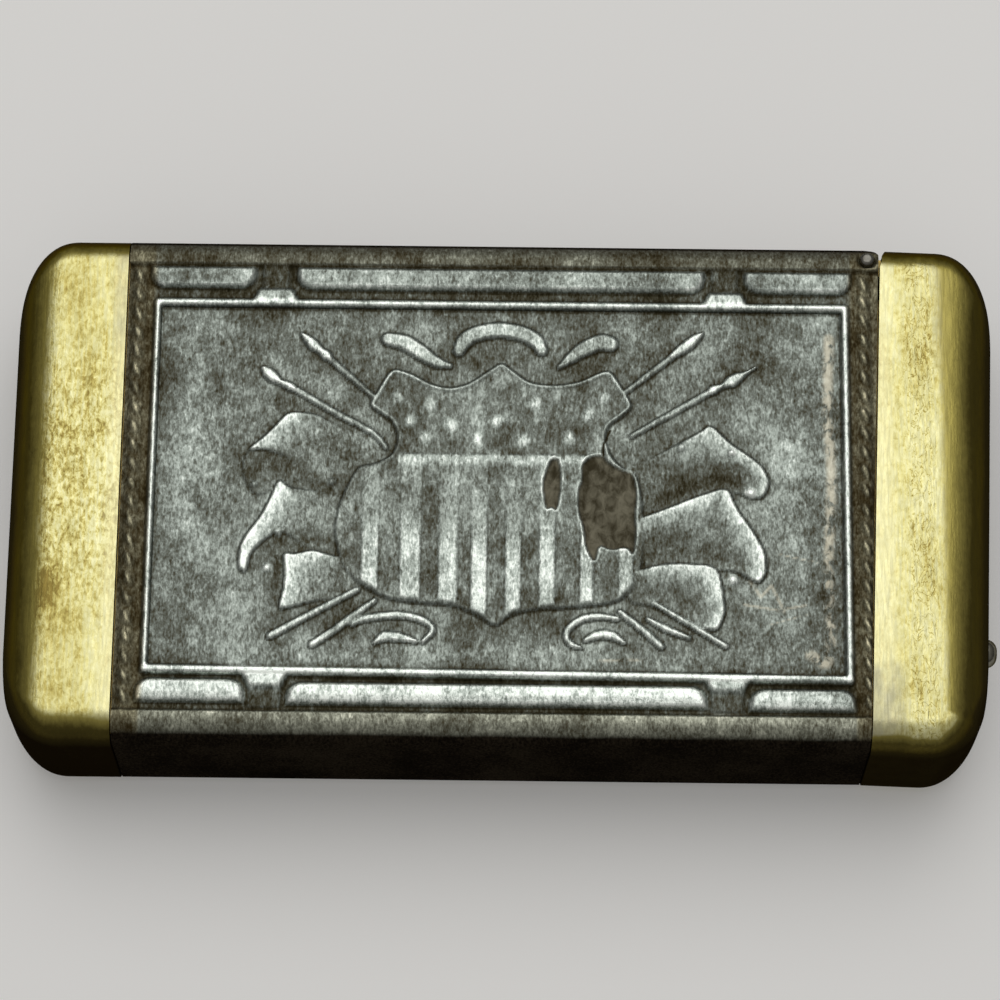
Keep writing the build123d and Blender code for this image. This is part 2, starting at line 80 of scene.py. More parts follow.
def new_object(name, data):
    item = bpy.data.objects.new(name, data)
    scene.collection.objects.link(item)
    return item


def make_mesh(name, points, faces, fields=None):
    """A smooth mesh from points in millimetres and its faces. Unused points are dropped."""
    points = np.asarray(points, float)
    used = np.unique(np.concatenate([np.ravel(f) for f in faces if len(f)]))
    mesh = bpy.data.meshes.new(name)
    polygons = [q for f in faces for q in np.searchsorted(used, f).tolist()]
    mesh.from_pydata((points[used] * MM).tolist(), [], polygons)
    mesh.shade_smooth()
    for key, values in (fields or {}).items():
        layer = mesh.attributes.new(key, "FLOAT", "POINT")
        layer.data.foreach_set("value", np.asarray(values, np.float32)[used])
    mesh.update()
    return new_object(name, mesh)


def quads(rows, columns, first=0, mask=None, flip=False, closed=False):
    """Faces of a grid of points, row by row; closed joins the last column to the first."""
    i, j = np.meshgrid(np.arange(rows - 1), np.arange(columns - (not closed)), indexing="ij")
    i, j = (i.ravel(), j.ravel()) if mask is None else (i[mask], j[mask])
    k = (j + 1) % columns
    near, far = i * columns, (i + 1) * columns
    face = np.stack([near + j, far + j, far + k, near + k], 1)
    return first + (face[:, ::-1] if flip else face)


def shell(outer, inner, mask):
    """Quads of a sheet with an outside and an inside, and walls round every border of the mask,
    with points of their own, so that their edges stay crisp."""
    rows, columns = outer.shape[:2]
    count = rows * columns
    points = np.concatenate([outer.reshape(-1, 3), inner.reshape(-1, 3)] * 2)
    faces = [quads(rows, columns, 0, mask), quads(rows, columns, count, mask, flip=True)]
    padded = np.zeros((rows + 1, columns + 1), bool)
    padded[1:-1, 1:-1] = mask
    walls = []
    for i, j in zip(*np.nonzero(mask)):
        near = (padded[i, j + 1], padded[i + 2, j + 1], padded[i + 1, j], padded[i + 1, j + 2])
        if all(near):
            continue
        a, b = i * columns + j, (i + 1) * columns + j
        c, d = b + 1, a + 1
        for joined, (p, q) in zip(near, ((d, a), (b, c), (a, b), (c, d))):
            if not joined:
                walls.append([q + 2 * count, p + 2 * count, p + 3 * count, q + 3 * count])
    faces.append(np.array(walls))
    return points, faces


def shut(points, faces, base, ring, centre, flip):
    """Close a ring with a fan to its centre."""
    count = len(ring)
    k = np.arange(count)
    points.append(np.concatenate([ring, np.reshape(centre, (1, 3))]))
    fan = np.stack([k, (k + 1) % count, np.full(count, count)], 1) + base
    faces.append(fan[:, ::-1] if flip else fan)
    return base + count + 1


# ---- stamped relief


def ease(value, low, high):
    t = np.clip((value - low) / (high - low), 0, 1)
    return t * t * (3 - 2 * t)


def bell(value):
    return np.exp(-(value**2))


def spline(points, steps=8):
    """A smooth open line through the points."""
    p = np.asarray(points, float)
    p = np.concatenate([[2 * p[0] - p[1]], p, [2 * p[-1] - p[-2]]])
    t = np.arange(steps)[:, None] / steps
    out = [0.5 * (2 * b + (c - a) * t + (2 * a - 5 * b + 4 * c - d) * t**2
                  + (3 * b - a - 3 * c + d) * t**3)
           for a, b, c, d in zip(p[:-3], p[1:-2], p[2:-1], p[3:])]
    return np.concatenate([*out, p[-2:-1]])


def rounded(points, rounds=2):
    """A closed outline with its corners cut round."""
    p = np.asarray(points, float)
    for _ in range(rounds):
        after = np.roll(p, -1, axis=0)
        p = np.stack([0.8 * p + 0.2 * after, 0.2 * p + 0.8 * after], 1).reshape(-1, 2)
    return p


def blur(field, radius):
    """A Gaussian blur along both axes, radius in grid steps."""
    reach = int(3 * radius) + 1
    kernel = np.exp(-0.5 * (np.arange(-reach, reach + 1) / radius) ** 2)
    kernel /= kernel.sum()
    field = np.pad(field, reach, mode="edge")
    for axis in (0, 1):
        field = np.apply_along_axis(np.convolve, axis, field, kernel, "valid")
    return field


class Plate:
    """One stamped face as fields over a fine grid: height above the ground, and its finish with
    dirt and painted shade.
    """

    step = 0.125

    def __init__(self):
        self.x = np.arange(-28.5, 29 + self.step / 2, self.step)
        self.y = np.arange(-18, 18 + self.step / 2, self.step)
        self.X, self.Y = np.meshgrid(self.x, self.y, indexing="ij")
        self.h, self.tone, self.torn, self.pink = np.zeros((4, *self.X.shape))

    def near(self, points, reach=0.6):
        """The part of the grid within reach of the points."""
        low, high = np.min(points, 0) - reach, np.max(points, 0) + reach
        lines = zip((self.x, self.y), low, high)
        return tuple(slice(*np.searchsorted(line, ends)) for line, *ends in lines)

    def away(self, where, points, widths=1):
        """Distance to a line as a share of its half width, which may change along it."""
        X, Y = self.X[where], self.Y[where]
        given = np.atleast_1d(widths)
        wide = np.interp(np.linspace(0, 1, len(points)), np.linspace(0, 1, len(given)), given)
        best = np.full(X.shape, 1e9)
        for (a, b), w, (c, d), v in zip(points[:-1], wide[:-1], points[1:], wide[1:]):
            run = (c - a) ** 2 + (d - b) ** 2
            t = np.clip(((X - a) * (c - a) + (Y - b) * (d - b)) / run, 0, 1)
            gap = np.hypot(X - a - t * (c - a), Y - b - t * (d - b)) / (w + t * (v - w))
            best = np.minimum(best, gap)
        return best

    def inside(self, where, points):
        """Distance into a closed outline, negative outside it."""
        X, Y = self.X[where], self.Y[where]
        closed = np.concatenate([points, points[:1]])
        gap = self.away(where, closed)
        within = np.zeros(X.shape, bool)
        for (a, b), (c, d) in zip(closed[:-1], closed[1:]):
            crosses = (b > Y) != (d > Y)
            at = a + (Y - b) * (c - a) / (d - b if d != b else 1e-9)
            within ^= crosses & (X < at)
        return np.where(within, gap, -gap)

    def ridge(self, points, width, rise, tone, flat):
        """A raised line; a larger flat makes its back flatter. The tone may run along the line."""
        where = self.near(points, np.max(width) * 2 + 0.4)
        gap = self.away(where, points, width)
        back = np.clip(1 - gap ** (2 * flat), 0, 1) ** 0.7
        self.h[where] = np.maximum(self.h[where], back * rise)
        if np.ndim(tone):
            start, run = points[0], points[-1] - points[0]
            along = (self.X[where] - start[0]) * run[0] + (self.Y[where] - start[1]) * run[1]
            tone = np.interp(along / run.dot(run), np.linspace(0, 1, len(tone)), tone)
        self.tone[where] += tone * ease(gap, 1.15, 0.7)

    def knob(self, x, y, radius, rise, tone, long=1):
        where = self.near([(x, y)], radius * long * 2)
        gap = np.hypot((self.X[where] - x) / radius, (self.Y[where] - y) / (radius * long))
        self.h[where] += rise * ease(gap, 1, 0.2)
        self.tone[where] += tone * ease(gap, 1.2, 0.3)

    def dirt_and_shade(self):
        """Dirt together with painted shade: close beside edges, broadly round the relief, and in a
        thin dark line below raised work, darkest on its side away from the light."""
        self.fine = np.clip(blur(self.h, 0.16 / self.step) - self.h, -0.07, 0.07)
        self.broad = blur(self.h, 0.9 / self.step) - self.h
        # A thin dark line of dirt and painted shadow, strongest on slopes that face away from the
        # light
        slope = np.gradient(blur(self.h, 0.12 / self.step), self.step, axis=1)
        self.dirt_and_shadow_line = ease(self.fine, 0.015, 0.06) * (0.35 + 0.65 * ease(slope, 0, 0.25))
        return self

    def read(self, name, x, y):
        """A field at any places, between the grid's own."""
        f = getattr(self, name)
        u = np.clip((x - self.x[0]) / self.step, 0, len(self.x) - 1.001)
        v = np.clip((y - self.y[0]) / self.step, 0, len(self.y) - 1.001)
        i, j = u.astype(int), v.astype(int)
        s, t = u - i, v - j
        low = f[i, j] * (1 - s) + f[i + 1, j] * s
        high = f[i, j + 1] * (1 - s) + f[i + 1, j + 1] * s
        return low * (1 - t) + high * t


# Shield: chief with horns above, striped body below
SHIELD = [
    (0, 9.85), (-0.9, 9.2), (-2.4, 8.1), (-3.8, 7.7), (-5.2, 8), (-6.8, 8.9), (-8, 9.25),
    (-8.5, 8.8), (-9.3, 7.3), (-9.85, 6.3), (-9, 5.7), (-8, 5), (-7.6, 3.7), (-8, 2.4),
    (-9.2, 1.7), (-10.5, 1.5), (-11.1, 0.4), (-11.9, -1.5), (-12.2, -3.6), (-11.7, -6),
    (-10.4, -7.6), (-8.4, -8.7), (-6.3, -9.05), (-3.3, -9.2), (-1.7, -9.9), (-0.2, -10.9),
    (0.7, -10), (2.3, -9.5), (5.6, -9.3), (8.6, -8.9), (9.9, -7.9), (10.5, -6), (10.6, -3.3),
    (10.5, -0.9), (10.1, 1), (9.1, 1.4), (8.1, 2.6), (7.7, 4), (8, 4.9), (9, 5.6),
    (9.85, 6.4), (9, 7.9), (8.2, 9.2), (7.5, 9.2), (5.8, 8.3), (4, 8), (2.1, 8.2), (0.8, 9.2),
]
CHIEF_FOOT = 2.38
STRIPES = [(-9.53, 1.25), (-6.58, 1.5), (-3.8, 1.4), (-1.48, 1.15), (1.03, 1.15), (3.5, 1.2),
           (6.42, 0.95), (9.28, 1.05)]
STARS = [(-7.75, 7), (-5.15, 6.35), (-6.7, 5.1), (-5.5, 3.75), (-3.7, 4.8), (-1.75, 3.7),
         (-0.35, 5.1), (1.7, 3.65), (2.45, 6.6), (5.1, 3.85), (6.5, 5.7), (7.7, 7.05)]

# Ribbons over the shield
RIBBONS = [
    ([(-3.2, 10.7), (-2.8, 11.5), (-2, 12.05), (-0.4, 12.4), (1.3, 12.2), (2.5, 11.6), (3, 10.8)],
     (0.42, 0.58, 0.6, 0.6, 0.6, 0.58, 0.4)),
    ([(-8.5, 11.6), (-7.2, 11.3), (-6.1, 10.6), (-4.9, 9.8), (-3.8, 9.5)],
     (0.5, 0.6, 0.58, 0.42, 0.12)),
    ([(4.3, 9.5), (5.2, 10.25), (6.2, 11), (7.4, 11.5), (8.1, 11.4)],
     (0.12, 0.42, 0.58, 0.64, 0.6)),
]

# Lances: shaft, then head from its tip, as points with half widths
SHAFTS = [
    [(-13.2, 10.3), (-9.5, 7)],
    [(-15.6, 7.7), (-12.5, 5.8), (-9.6, 4.2), (-8.5, 3)],
    [(12.7, 10.4), (9.3, 7.6)],
    [(15.8, 7.8), (9.7, 4.1)],
]
HEADS = [
    ([(-14.95, 11.9), (-14.5, 11.5), (-14.1, 11.1), (-13.7, 10.75), (-13.45, 10.55), (-13.1, 10.25),
      (-12.85, 10)], (0.14, 0.34, 0.46, 0.34, 0.26, 0.42, 0.2)),
    ([(-17.75, 9.15), (-17.4, 8.8), (-17, 8.45), (-16.5, 8.1), (-16.1, 7.9), (-15.7, 7.7),
      (-15.4, 7.5)], (0.2, 0.44, 0.44, 0.2, 0.3, 0.34, 0.18)),
    ([(15, 12.3), (14.5, 11.9), (14, 11.45), (13.3, 10.9), (12.7, 10.45)],
     (0.1, 0.36, 0.44, 0.4, 0.22)),
    ([(19, 9.65), (18.3, 9.2), (17.6, 8.8), (17.15, 8.5), (16.6, 8.2), (16.2, 8), (15.8, 7.8),
      (15.5, 7.6)], (0.06, 0.12, 0.42, 0.5, 0.2, 0.22, 0.38, 0.18)),
]

# Flags: outline, the lit edge where it stands highest, its rise and how bright the edge is.
# Each falls away from its edge and goes under the next one.
FLAGS = [
    ([(-19, 2.5), (-19.1, 0.8), (-18.5, -0.4), (-17.9, -0.9), (-16.6, -0.3), (-15, 0.5),
      (-12, 0), (-11.6, 2), (-14.5, 3.2), (-17.5, 2.9)],
     [(-19, 2.4), (-19.1, 0.8), (-18.5, -0.4)], 0.1, -0.3),
    ([(-18.9, 2.6), (-17.5, 3.8), (-16.6, 4.8), (-15.8, 5.75), (-13.7, 5.6), (-11.3, 4.2),
      (-8.5, 3.4), (-8.6, 1.6), (-11, -0.8), (-12.5, -0.1), (-13.9, 0.6), (-15, 1.4), (-16, 2.3),
      (-17.5, 2.75)],
     [(-18.8, 2.6), (-17.5, 3.8), (-16.6, 4.8), (-15.8, 5.6)], 0.26, 0.95),
    ([(-16.4, 0.5), (-15.5, -0.3), (-13.8, -0.4), (-12, -0.9), (-10.8, -1.5), (-10.8, -5.2),
      (-14, -4.9), (-16.2, -3.5), (-17.4, -4.4), (-18.3, -5.3), (-18.6, -6.9), (-19.2, -6.5),
      (-19.1, -4.8), (-18.6, -3.8), (-17.7, -2.6), (-16.9, -0.9)],
     [(-16.5, 0.4), (-16.8, -0.9), (-17.7, -2.6), (-18.6, -3.8), (-19.1, -4.8), (-19.1, -6.4)],
     0.26, 0.95),
    ([(-15.95, -5.3), (-15, -5.4), (-13.7, -5.05), (-13, -5.3), (-11, -5.8), (-10, -7.4),
      (-10.6, -8.6), (-13.6, -9), (-15.2, -9.5), (-16.2, -9.7), (-15.8, -8), (-15.75, -6.5)],
     [(-16.1, -9), (-15.8, -8), (-15.75, -6.5), (-15.9, -5.3), (-15, -5.45), (-13.3, -5.1)],
     0.27, 1.05),
    ([(13.3, 3.6), (14.8, 4.45), (15.6, 5.1), (17, 3.6), (18.5, 2.55), (19.4, 1.8), (20, 0.5),
      (19.3, -0.9), (17, -0.1), (14.2, -0.9), (11.6, -1.9), (9.6, -0.8), (9.3, 1.6), (11.6, 2.6)],
     [(14.7, 4.3), (15.6, 5), (17, 3.5), (18.5, 2.5), (19.4, 1.7), (19.9, 0.5)], 0.26, 0.8),
    ([(10.2, -2.4), (11.6, -1.85), (12.6, -1.45), (14.2, -0.75), (16.85, 0.2), (17.4, -1.4),
      (18.5, -3), (19.5, -4.7), (19.7, -6.3), (19.1, -7.4), (17.3, -6.3), (15.1, -6.3),
      (12.4, -6.4), (9.8, -5.6)],
     [(10.8, -2.1), (11.6, -1.9), (12.6, -1.5), (14.2, -0.8), (16.8, 0.1), (17.3, -1.4), (18.4, -3),
      (19.4, -4.7), (19.6, -6.3), (19.1, -7.1)], 0.28, 0.95),
    ([(9.6, -6.6), (11.1, -6.1), (12.7, -5.8), (16.05, -5.95), (16.45, -8), (16.6, -9.6),
      (16, -11.1), (13.8, -10.4), (11.4, -9.1), (9.4, -8.9)],
     [(11.1, -6.2), (12.7, -5.95), (15.9, -6.05), (16.4, -8), (16.5, -9.6), (16, -10.7)],
     0.27, 0.95),
]
# Folds of the flags, darkened as painted shade, and the balls that catch the light
FOLDS = [
    ([(-18.6, 1.6), (-17.9, 0.2), (-16.8, 0.8)], 0.9, 0.3),
    ([(-17, 2.1), (-15.3, 1.5), (-13.8, 0.2), (-11.8, -0.2)], 0.75, 0.6),
    ([(-18, -6.2), (-17.3, -4.9), (-16.4, -4.2)], 0.5, 0.55),
    ([(-15.6, -4.4), (-13.4, -4.3), (-12.2, -4.6)], 0.7, 0.5),
    ([(-16.3, -5.6), (-16.4, -7.4), (-16.7, -9.2)], 0.25, 0.6),
    ([(13.4, 0.6), (15.6, 1.4), (17.6, 1.4), (19, 0.8)], 1, 0.7),
    ([(11.9, -0.9), (14, 0), (16.4, 0.7), (17.6, 0.3)], 0.5, 0.8),
    ([(12.6, -4.6), (15, -4.9), (17.4, -5.6)], 0.8, 0.45),
    ([(11.4, -7.4), (13.2, -8.2), (15.2, -9.6)], 1.1, 0.55),
]
BALLS = [(-17.1, -6.45, 0.45, 1.3), (-16.3, -3.8, 0.32, 0.8), (18.5, -0.3, 0.5, 1.5),
         (17.2, -7, 0.5, 1.5), (-18.2, 0, 0.35, 0.3), (-12.4, 0.3, 0.4, 0.35),
         (17.1, 2.8, 0.35, 0.3), (13.4, 3.2, 0.4, 0.35)]

# Shafts and loops below the shield
LOWER = [
    ([(-10.4, -8.1), (-13.6, -9.9), (-16.7, -11.7)], (0.2, 0.24, 0.26)),
    ([(-9.1, -8.9), (-10.7, -10.15), (-12, -11.2), (-13.6, -12.3)], (0.16, 0.26, 0.27, 0.25)),
    ([(8.9, -9.6), (10.5, -10.9), (11.9, -12.2)], (0.2, 0.24, 0.22)),
    ([(11.4, -8.9), (14, -10.5), (16.6, -12.1)], (0.14, 0.2, 0.18)),
    ([(-10.7, -10.75), (-9.8, -10.3), (-7.4, -10), (-5.6, -10.35), (-4.8, -11.1), (-5.5, -12)],
     (0.16, 0.26, 0.26, 0.24, 0.2, 0.14)),
    ([(-9, -12.1), (-8.3, -11.65), (-7.2, -11.7), (-6, -12)], (0.14, 0.38, 0.34, 0.12)),
    ([(8.7, -10.1), (7.3, -9.95), (6, -10.2), (5, -11.1), (5.2, -12), (6, -12.35)],
     (0.16, 0.24, 0.24, 0.22, 0.2, 0.12)),
    ([(6.3, -11.8), (7.3, -11.35), (8.3, -11.4), (9.2, -11.95)], (0.14, 0.32, 0.32, 0.12)),
    ([(10.9, -10.1), (12.2, -10.8), (13.9, -11.5)], (0.12, 0.26, 0.14)),
]

# Places where the plating has torn away
SMALL_TEAR = [(3.8, 2.2), (4.35, 2.15), (4.5, 0.25), (4.2, -1.8), (3.8, -1.55), (3.4, -1.75),
              (3.15, 0.2), (3.45, 1.4)]
LARGE_TEAR = [(6, 1.7), (6.6, 2.4), (7.5, 2.55), (8.1, 1.8), (9.2, 1.3), (9.8, 1.15), (10.1, -0.3),
              (9.95, -2.4), (10.05, -3.3), (9.85, -5.3), (9.4, -4.6), (8.2, -4.85), (7.3, -4.4),
              (7, -5.9), (6.35, -4.7), (6.2, -3.2), (5.85, -2.1), (5.75, -0.4), (6.1, 0.6)]
CRACK = [(7.6, 2.5), (7.65, 3.4), (8.1, 4.5)]
RUB = [(24.45, 12), (24.3, 6), (24.5, 1), (24.2, -6), (24.2, -12.9), (22.8, -12.7)]
SCRATCHES = [
    ([(18.4, -7), (19.2, -8.3), (20, -7.4), (20.9, -9.4)], 0.16),
    ([(18, -8.9), (20.5, -9.3), (22.5, -8.9)], 0.12),
    ([(7.4, -13.3), (10.4, -13.2)], 0.14),
    ([(20.6, -5), (23.4, -5.6)], 0.06),
    ([(19.9, -10.4), (22.6, -9.6)], 0.05),
]

# Frame, pads and rope borders
FRAME = [(-25.8, 14.36), (25.65, 14.38), (25.65, -14.62), (-25.8, -14.3), (-25.8, 14.36)]
FRAME_RISE = 0.47
# Half width and brightness of its top, right, bottom and left
FRAME_SIDES = ((0.31, 0.7), (0.29, 0.8), (0.34, 0.95), (0.29, 0.8))
PADS = [
    (-26.5, -18.45, 15.5, 17.35), (-15.5, 15.2, 15.45, 17.35), (18.1, 26.25, 15.45, 17.35),
    (-26.5, -18.4, -14.95, -16.85), (-15.45, 15.25, -15.15, -16.95), (18.25, 26.15, -15.3, -17.1),
]
# Each pad's tone; the pads on the -Y side are painted brighter than those on the +Y side, as
# painted light
PAD_TONES = (0.52, 0.52, 0.38, 1.02, 1.3, 0.95)
PAD_RISE, PAD_CORNER = 0.47, 1.2
POSTS = (-17, 16.7)
# Both sides of a post: its start and end, half width, the wedge's reach and brightness
POST_SIDES = ((1, 14.4, 17.4, 0.98, 1.35, 0.95), (-1, 14.45, 17.1, 1.22, 1.75, 1.15))
POST_RISE, WEDGE_RISE = 0.2, 0.42
ROPES = ((-27.25, 0.62), (27.05, 0.6))
ROPE_PITCH, ROPE_LEAN, ROPE_RISE, BED_RISE = 1.49, radians(21), 0.3, 0.12
STRAND = (0.74, 0.3)
# Heights in the emblem, and the tone of the flags on the left and on the right
FLAG_FLOOR, FOLD_DEPTH, BALL_RISE = 0.02, 0.03, 0.14
SHIELD_RISE, RIM_RISE, BODY_RISE, STRIPE_RISE, STAR_RISE = 0.17, 0.09, 0.05, 0.08, 0.07
TEAR_FLOOR, LIP_RISE, CRACK_DEPTH, RUB_RISE = 0.03, 0.05, 0.12, 0.03
FLAG_TONES = (0.14, 0.02)
# The thin lines: points with half widths, then how far they spread, rise, tone and flatness
LINES = (
    ([(points, (0.27, 0.26, 0.2)) for points in SHAFTS], 0, 0.2, (0.5, 0.42, 0.12), 2.6),
    (HEADS, 0, 0.32, 0.8, 2.6),
    (RIBBONS, 0.04, 0.28, 0.52, 4),
    (LOWER, 0.04, 0.24, 0.72, 2.8),
)
# Soft patches of tone, among them a darker band along the +Y side and a lighter one along the -Y
# side: middle, width, height and tone
CLOUDS = [(-22.3, 2, 2.6, 8, 0.27), (22, 1, 2.8, 10, 0.2), (-22, -8, 3.5, 4, 0.12),
          (0, 13.5, 24, 0.8, -0.12), (-3, -13, 24, 1.2, 0.26)]


def draw_flags(p):
    """The flags, their folds darkened as painted shade, and the lumps and balls on them."""
    for outline, edge, rise, tone in FLAGS:
        where = p.near(outline)
        body = ease(p.inside(where, rounded(outline)), -0.07, 0.07)
        gap = p.away(where, spline(edge))
        surface = FLAG_FLOOR + rise * np.exp(-((gap / 2.6) ** 1.2))
        p.h[where] = p.h[where] * (1 - body) + surface * body
        p.tone[where] *= 1 - body
        p.tone[where] += (tone * np.exp(-(gap**1.4)) + FLAG_TONES[edge[0][0] > 0]) * body
    for points, width, dark in FOLDS:
        where = p.near(points, width * 3)
        fold = bell(p.away(where, spline(points), width))
        p.tone[where] -= 0.6 * dark * fold
        p.h[where] -= FOLD_DEPTH * fold * (p.h[where] > 0.05)
    for x, y, radius, tone in BALLS:
        p.knob(x, y, radius, BALL_RISE, tone)


def draw_shield(p):
    """A rimmed chief with stars over a striped body."""
    outline = rounded(SHIELD)
    where = p.near(outline)
    X, Y = p.X[where], p.Y[where]
    depth = p.inside(where, outline)
    body = ease(depth, -0.08, 0.08)
    p.h[where] = p.h[where] * (1 - body) + SHIELD_RISE * body
    p.tone[where] += 0.04 * body
    rim = np.clip(1 - ((depth - 0.17) / 0.18) ** 2, 0, 1) * ease(Y, 1.4, 2.4)
    p.h[where] += RIM_RISE * rim
    p.tone[where] += 0.7 * rim * (0.2 + 0.8 * ease(np.abs(X), 4, 7.5)) * ease(Y, 5, 7)
    p.tone[where] += 0.35 * bell(X / 1.1) * bell((Y - 8.9) / 0.9) * body
    lower = (1 - ease(Y, CHIEF_FOOT + 0.05, CHIEF_FOOT + 0.2)) * body
    low = ease(Y, -2.2, -5.4)
    p.h[where] += BODY_RISE * lower
    # A bright fringe along the top of the striped body, partly wear and partly a painted highlight
    # on the edge that faces the light
    p.tone[where] += 0.6 * bell((Y - CHIEF_FOOT + 0.3) / 0.4) * lower * (np.abs(X) < 7.6)
    p.tone[where] -= 0.16 * lower * low
    for x, wide in STRIPES:
        bar = ease(np.abs(X - x), wide / 2 + 0.05, wide / 2 - 0.07) * lower * ease(depth, 0.1, 0.4)
        p.h[where] += STRIPE_RISE * (0.45 + 0.55 * ease(Y, -1, -4.5)) * bar
        p.tone[where] += (0.18 + 0.66 * low) * bar
    for x, y in STARS:
        p.knob(x, y, 0.56, STAR_RISE, 0.75, long=1.15)


def draw_tears(p):
    """Two places without plating, each with a raised lip, and a crack above the larger."""
    for outline in (rounded(SMALL_TEAR, 1), rounded(LARGE_TEAR, 1)):
        where = p.near(outline)
        depth = p.inside(where, outline)
        hole = ease(depth, -0.05, 0.07)
        lip = bell((depth + 0.13) / 0.1)
        p.h[where] = p.h[where] * (1 - hole) + TEAR_FLOOR * hole + LIP_RISE * lip
        p.tone[where] += 0.45 * lip
        p.torn[where] = np.maximum(p.torn[where], hole)
    where = p.near(CRACK, 0.64)
    cut = ease(p.away(where, CRACK, 0.12), 1, 0.1)
    p.h[where] -= CRACK_DEPTH * cut
    p.tone[where] -= 1.5 * cut


def draw_wear(p):
    """Scratches, and the rubbed line beside the frame's right side."""
    for points, width in SCRATCHES:
        where = p.near(points)
        scratch = ease(p.away(where, points, 0.8 * width), 1.3, 0.3)
        p.pink[where] = np.maximum(p.pink[where], 0.7 * scratch)
    where, line = p.near(RUB, 1), spline(RUB)
    p.pink[where] = np.maximum(p.pink[where], ease(p.away(where, line, 0.42), 1.3, 0.3))
    p.h[where] += RUB_RISE * ease(p.away(where, line, 0.4), 1.2, 0.2)


def draw_pads(p):
    """The pads outside the frame, square at the strip and round at the frame."""
    angles = np.linspace(0, pi / 2, 7)
    turn = [(PAD_CORNER * (1 - sin(a)), PAD_CORNER * (1 - cos(a))) for a in angles]
    for (left, right, inner, outer), tone in zip(PADS, PAD_TONES):
        side = np.sign(outer)
        outline = [(left, outer)] + [(left + a, inner + side * b) for a, b in turn[::-1]]
        outline += [(right - a, inner + side * b) for a, b in turn] + [(right, outer)]
        where = p.near(outline, 0.5)
        depth = p.inside(where, outline)
        crown = ease(depth, -0.04, 0.26) * (0.82 + 0.18 * ease(depth, 0.15, 0.9))
        p.h[where] = np.maximum(p.h[where], PAD_RISE * crown)
        rim = bell((depth - 0.2) / 0.3) * ease(side * (outer - p.Y[where]), 0.1, 0.6)
        p.tone[where] += (tone + (0.5 if side > 0 else 0.2) * rim) * ease(depth, -0.02, 0.1)


def draw_posts(p):
    """The posts between the pads, each on a wedge that widens towards the frame."""
    for x in POSTS:
        over = np.abs(p.X - x)
        for side, near, far, half, foot, shine in POST_SIDES:
            up = side * p.Y
            body = ease(over, half + 0.1, half - 0.1) * ease(up, near, near + 0.1)
            body *= ease(up, far + 0.25, far)
            p.h = np.maximum(p.h, POST_RISE * body)
            p.tone -= 0.12 * body
            reach = up - near
            wide = 1.75 - 0.45 * np.clip(reach, 0, None)
            wedge = ease(over, wide + 0.1, wide - 0.12) * ease(reach, 0, 0.1)
            wedge *= ease(reach, foot, 0.9)
            p.h = np.maximum(p.h, WEDGE_RISE * wedge)
            p.tone += shine * wedge


def draw_ropes(p):
    """Two rope borders: leaning strands on a low round bed."""
    for x, half in ROPES:
        over, up = p.X - x, p.Y - ROPE_PITCH * np.round(p.Y / ROPE_PITCH)
        bed = np.clip(1 - (over / half) ** 2, 0, 1) ** 0.6
        along = np.abs(up * cos(ROPE_LEAN) - over * sin(ROPE_LEAN)) / STRAND[0]
        beside = np.abs(over * cos(ROPE_LEAN) + up * sin(ROPE_LEAN)) / STRAND[1]
        strand = np.clip(1 - along**1.6 - beside**1.6, 0, 1)
        p.h = np.maximum(p.h, bed * BED_RISE + (ROPE_RISE - BED_RISE) * strand**0.6 * (bed > 0))
        p.tone += (0.5 if x < 0 else 0.55) * ease(strand, 0.25, 0.75) * (np.abs(p.Y) < 17.4)
        p.tone += 0.12 * ease(np.abs(p.X), abs(x) + 0.25, abs(x) + 0.7) * (p.X * x > 0)


def draw_plate(worn):
    """One whole face. The worn one has tears, scratches and rubbed places."""
    p = Plate()
    draw_flags(p)
    for lines, spread, rise, tone, flat in LINES:
        for points, widths in lines:
            p.ridge(spline(points), np.add(widths, spread), rise, tone, flat)
    draw_shield(p)
    if worn:
        draw_tears(p)
    p.tone -= 0.3 * np.maximum(ease(np.abs(p.X), 25.9, 26.2), ease(np.abs(p.Y), 14.5, 14.8))
    for a, b, (half, tone) in zip(FRAME[:-1], FRAME[1:], FRAME_SIDES):
        p.ridge([a, b], half, FRAME_RISE, tone, 3.2)
    draw_pads(p)
    draw_posts(p)
    draw_ropes(p)
    strip = ease(np.abs(p.Y), 17.3, 17.5)
    p.h = p.h * (1 - strip) + (STRIP - GROUND) * strip
    # The strip and rounded edge on the -Y side are painted much brighter than on the +Y side, a
    # painted highlight
    p.tone += np.where(p.Y > 0, 0.05, 0.5) * strip * ease(np.abs(p.X), 26.6, 26.2)
    for x, y, wide, high, tone in CLOUDS:
        p.tone += tone * bell((p.X - x) / wide) * bell((p.Y - y) / high)
    if worn:
        draw_wear(p)
    return p.dirt_and_shade()


front, back = draw_plate(True), draw_plate(False)


# ---- sleeve

PANEL_X, PANEL_Y = (-25.5, 25.375), (-14, 14)
FIELDS = ("dirt_and_shadow_line", "fine", "broad", "tone", "torn", "pink")


def level(z, side):
    """A height above the middle plane, or the same below it."""
    return z if side > 0 else THICK - z


def mouth_x(y):
    """Where the sleeve ends at y: the slanted seam, then round the pin."""
    across = (y - PIN[1] + MOUTH * sin(SKEW)) / cos(SKEW)
    foot = sqrt(EAR**2 - MOUTH**2)
    reach = np.where(across > foot, np.sqrt(np.clip(EAR**2 - across**2, 0, None)), MOUTH)
    reach = np.where(across > EAR, -EAR_TAPER * (across - EAR) / (EAR_END - EAR), reach)
    return PIN[0] + reach * cos(SKEW) + across * sin(SKEW)


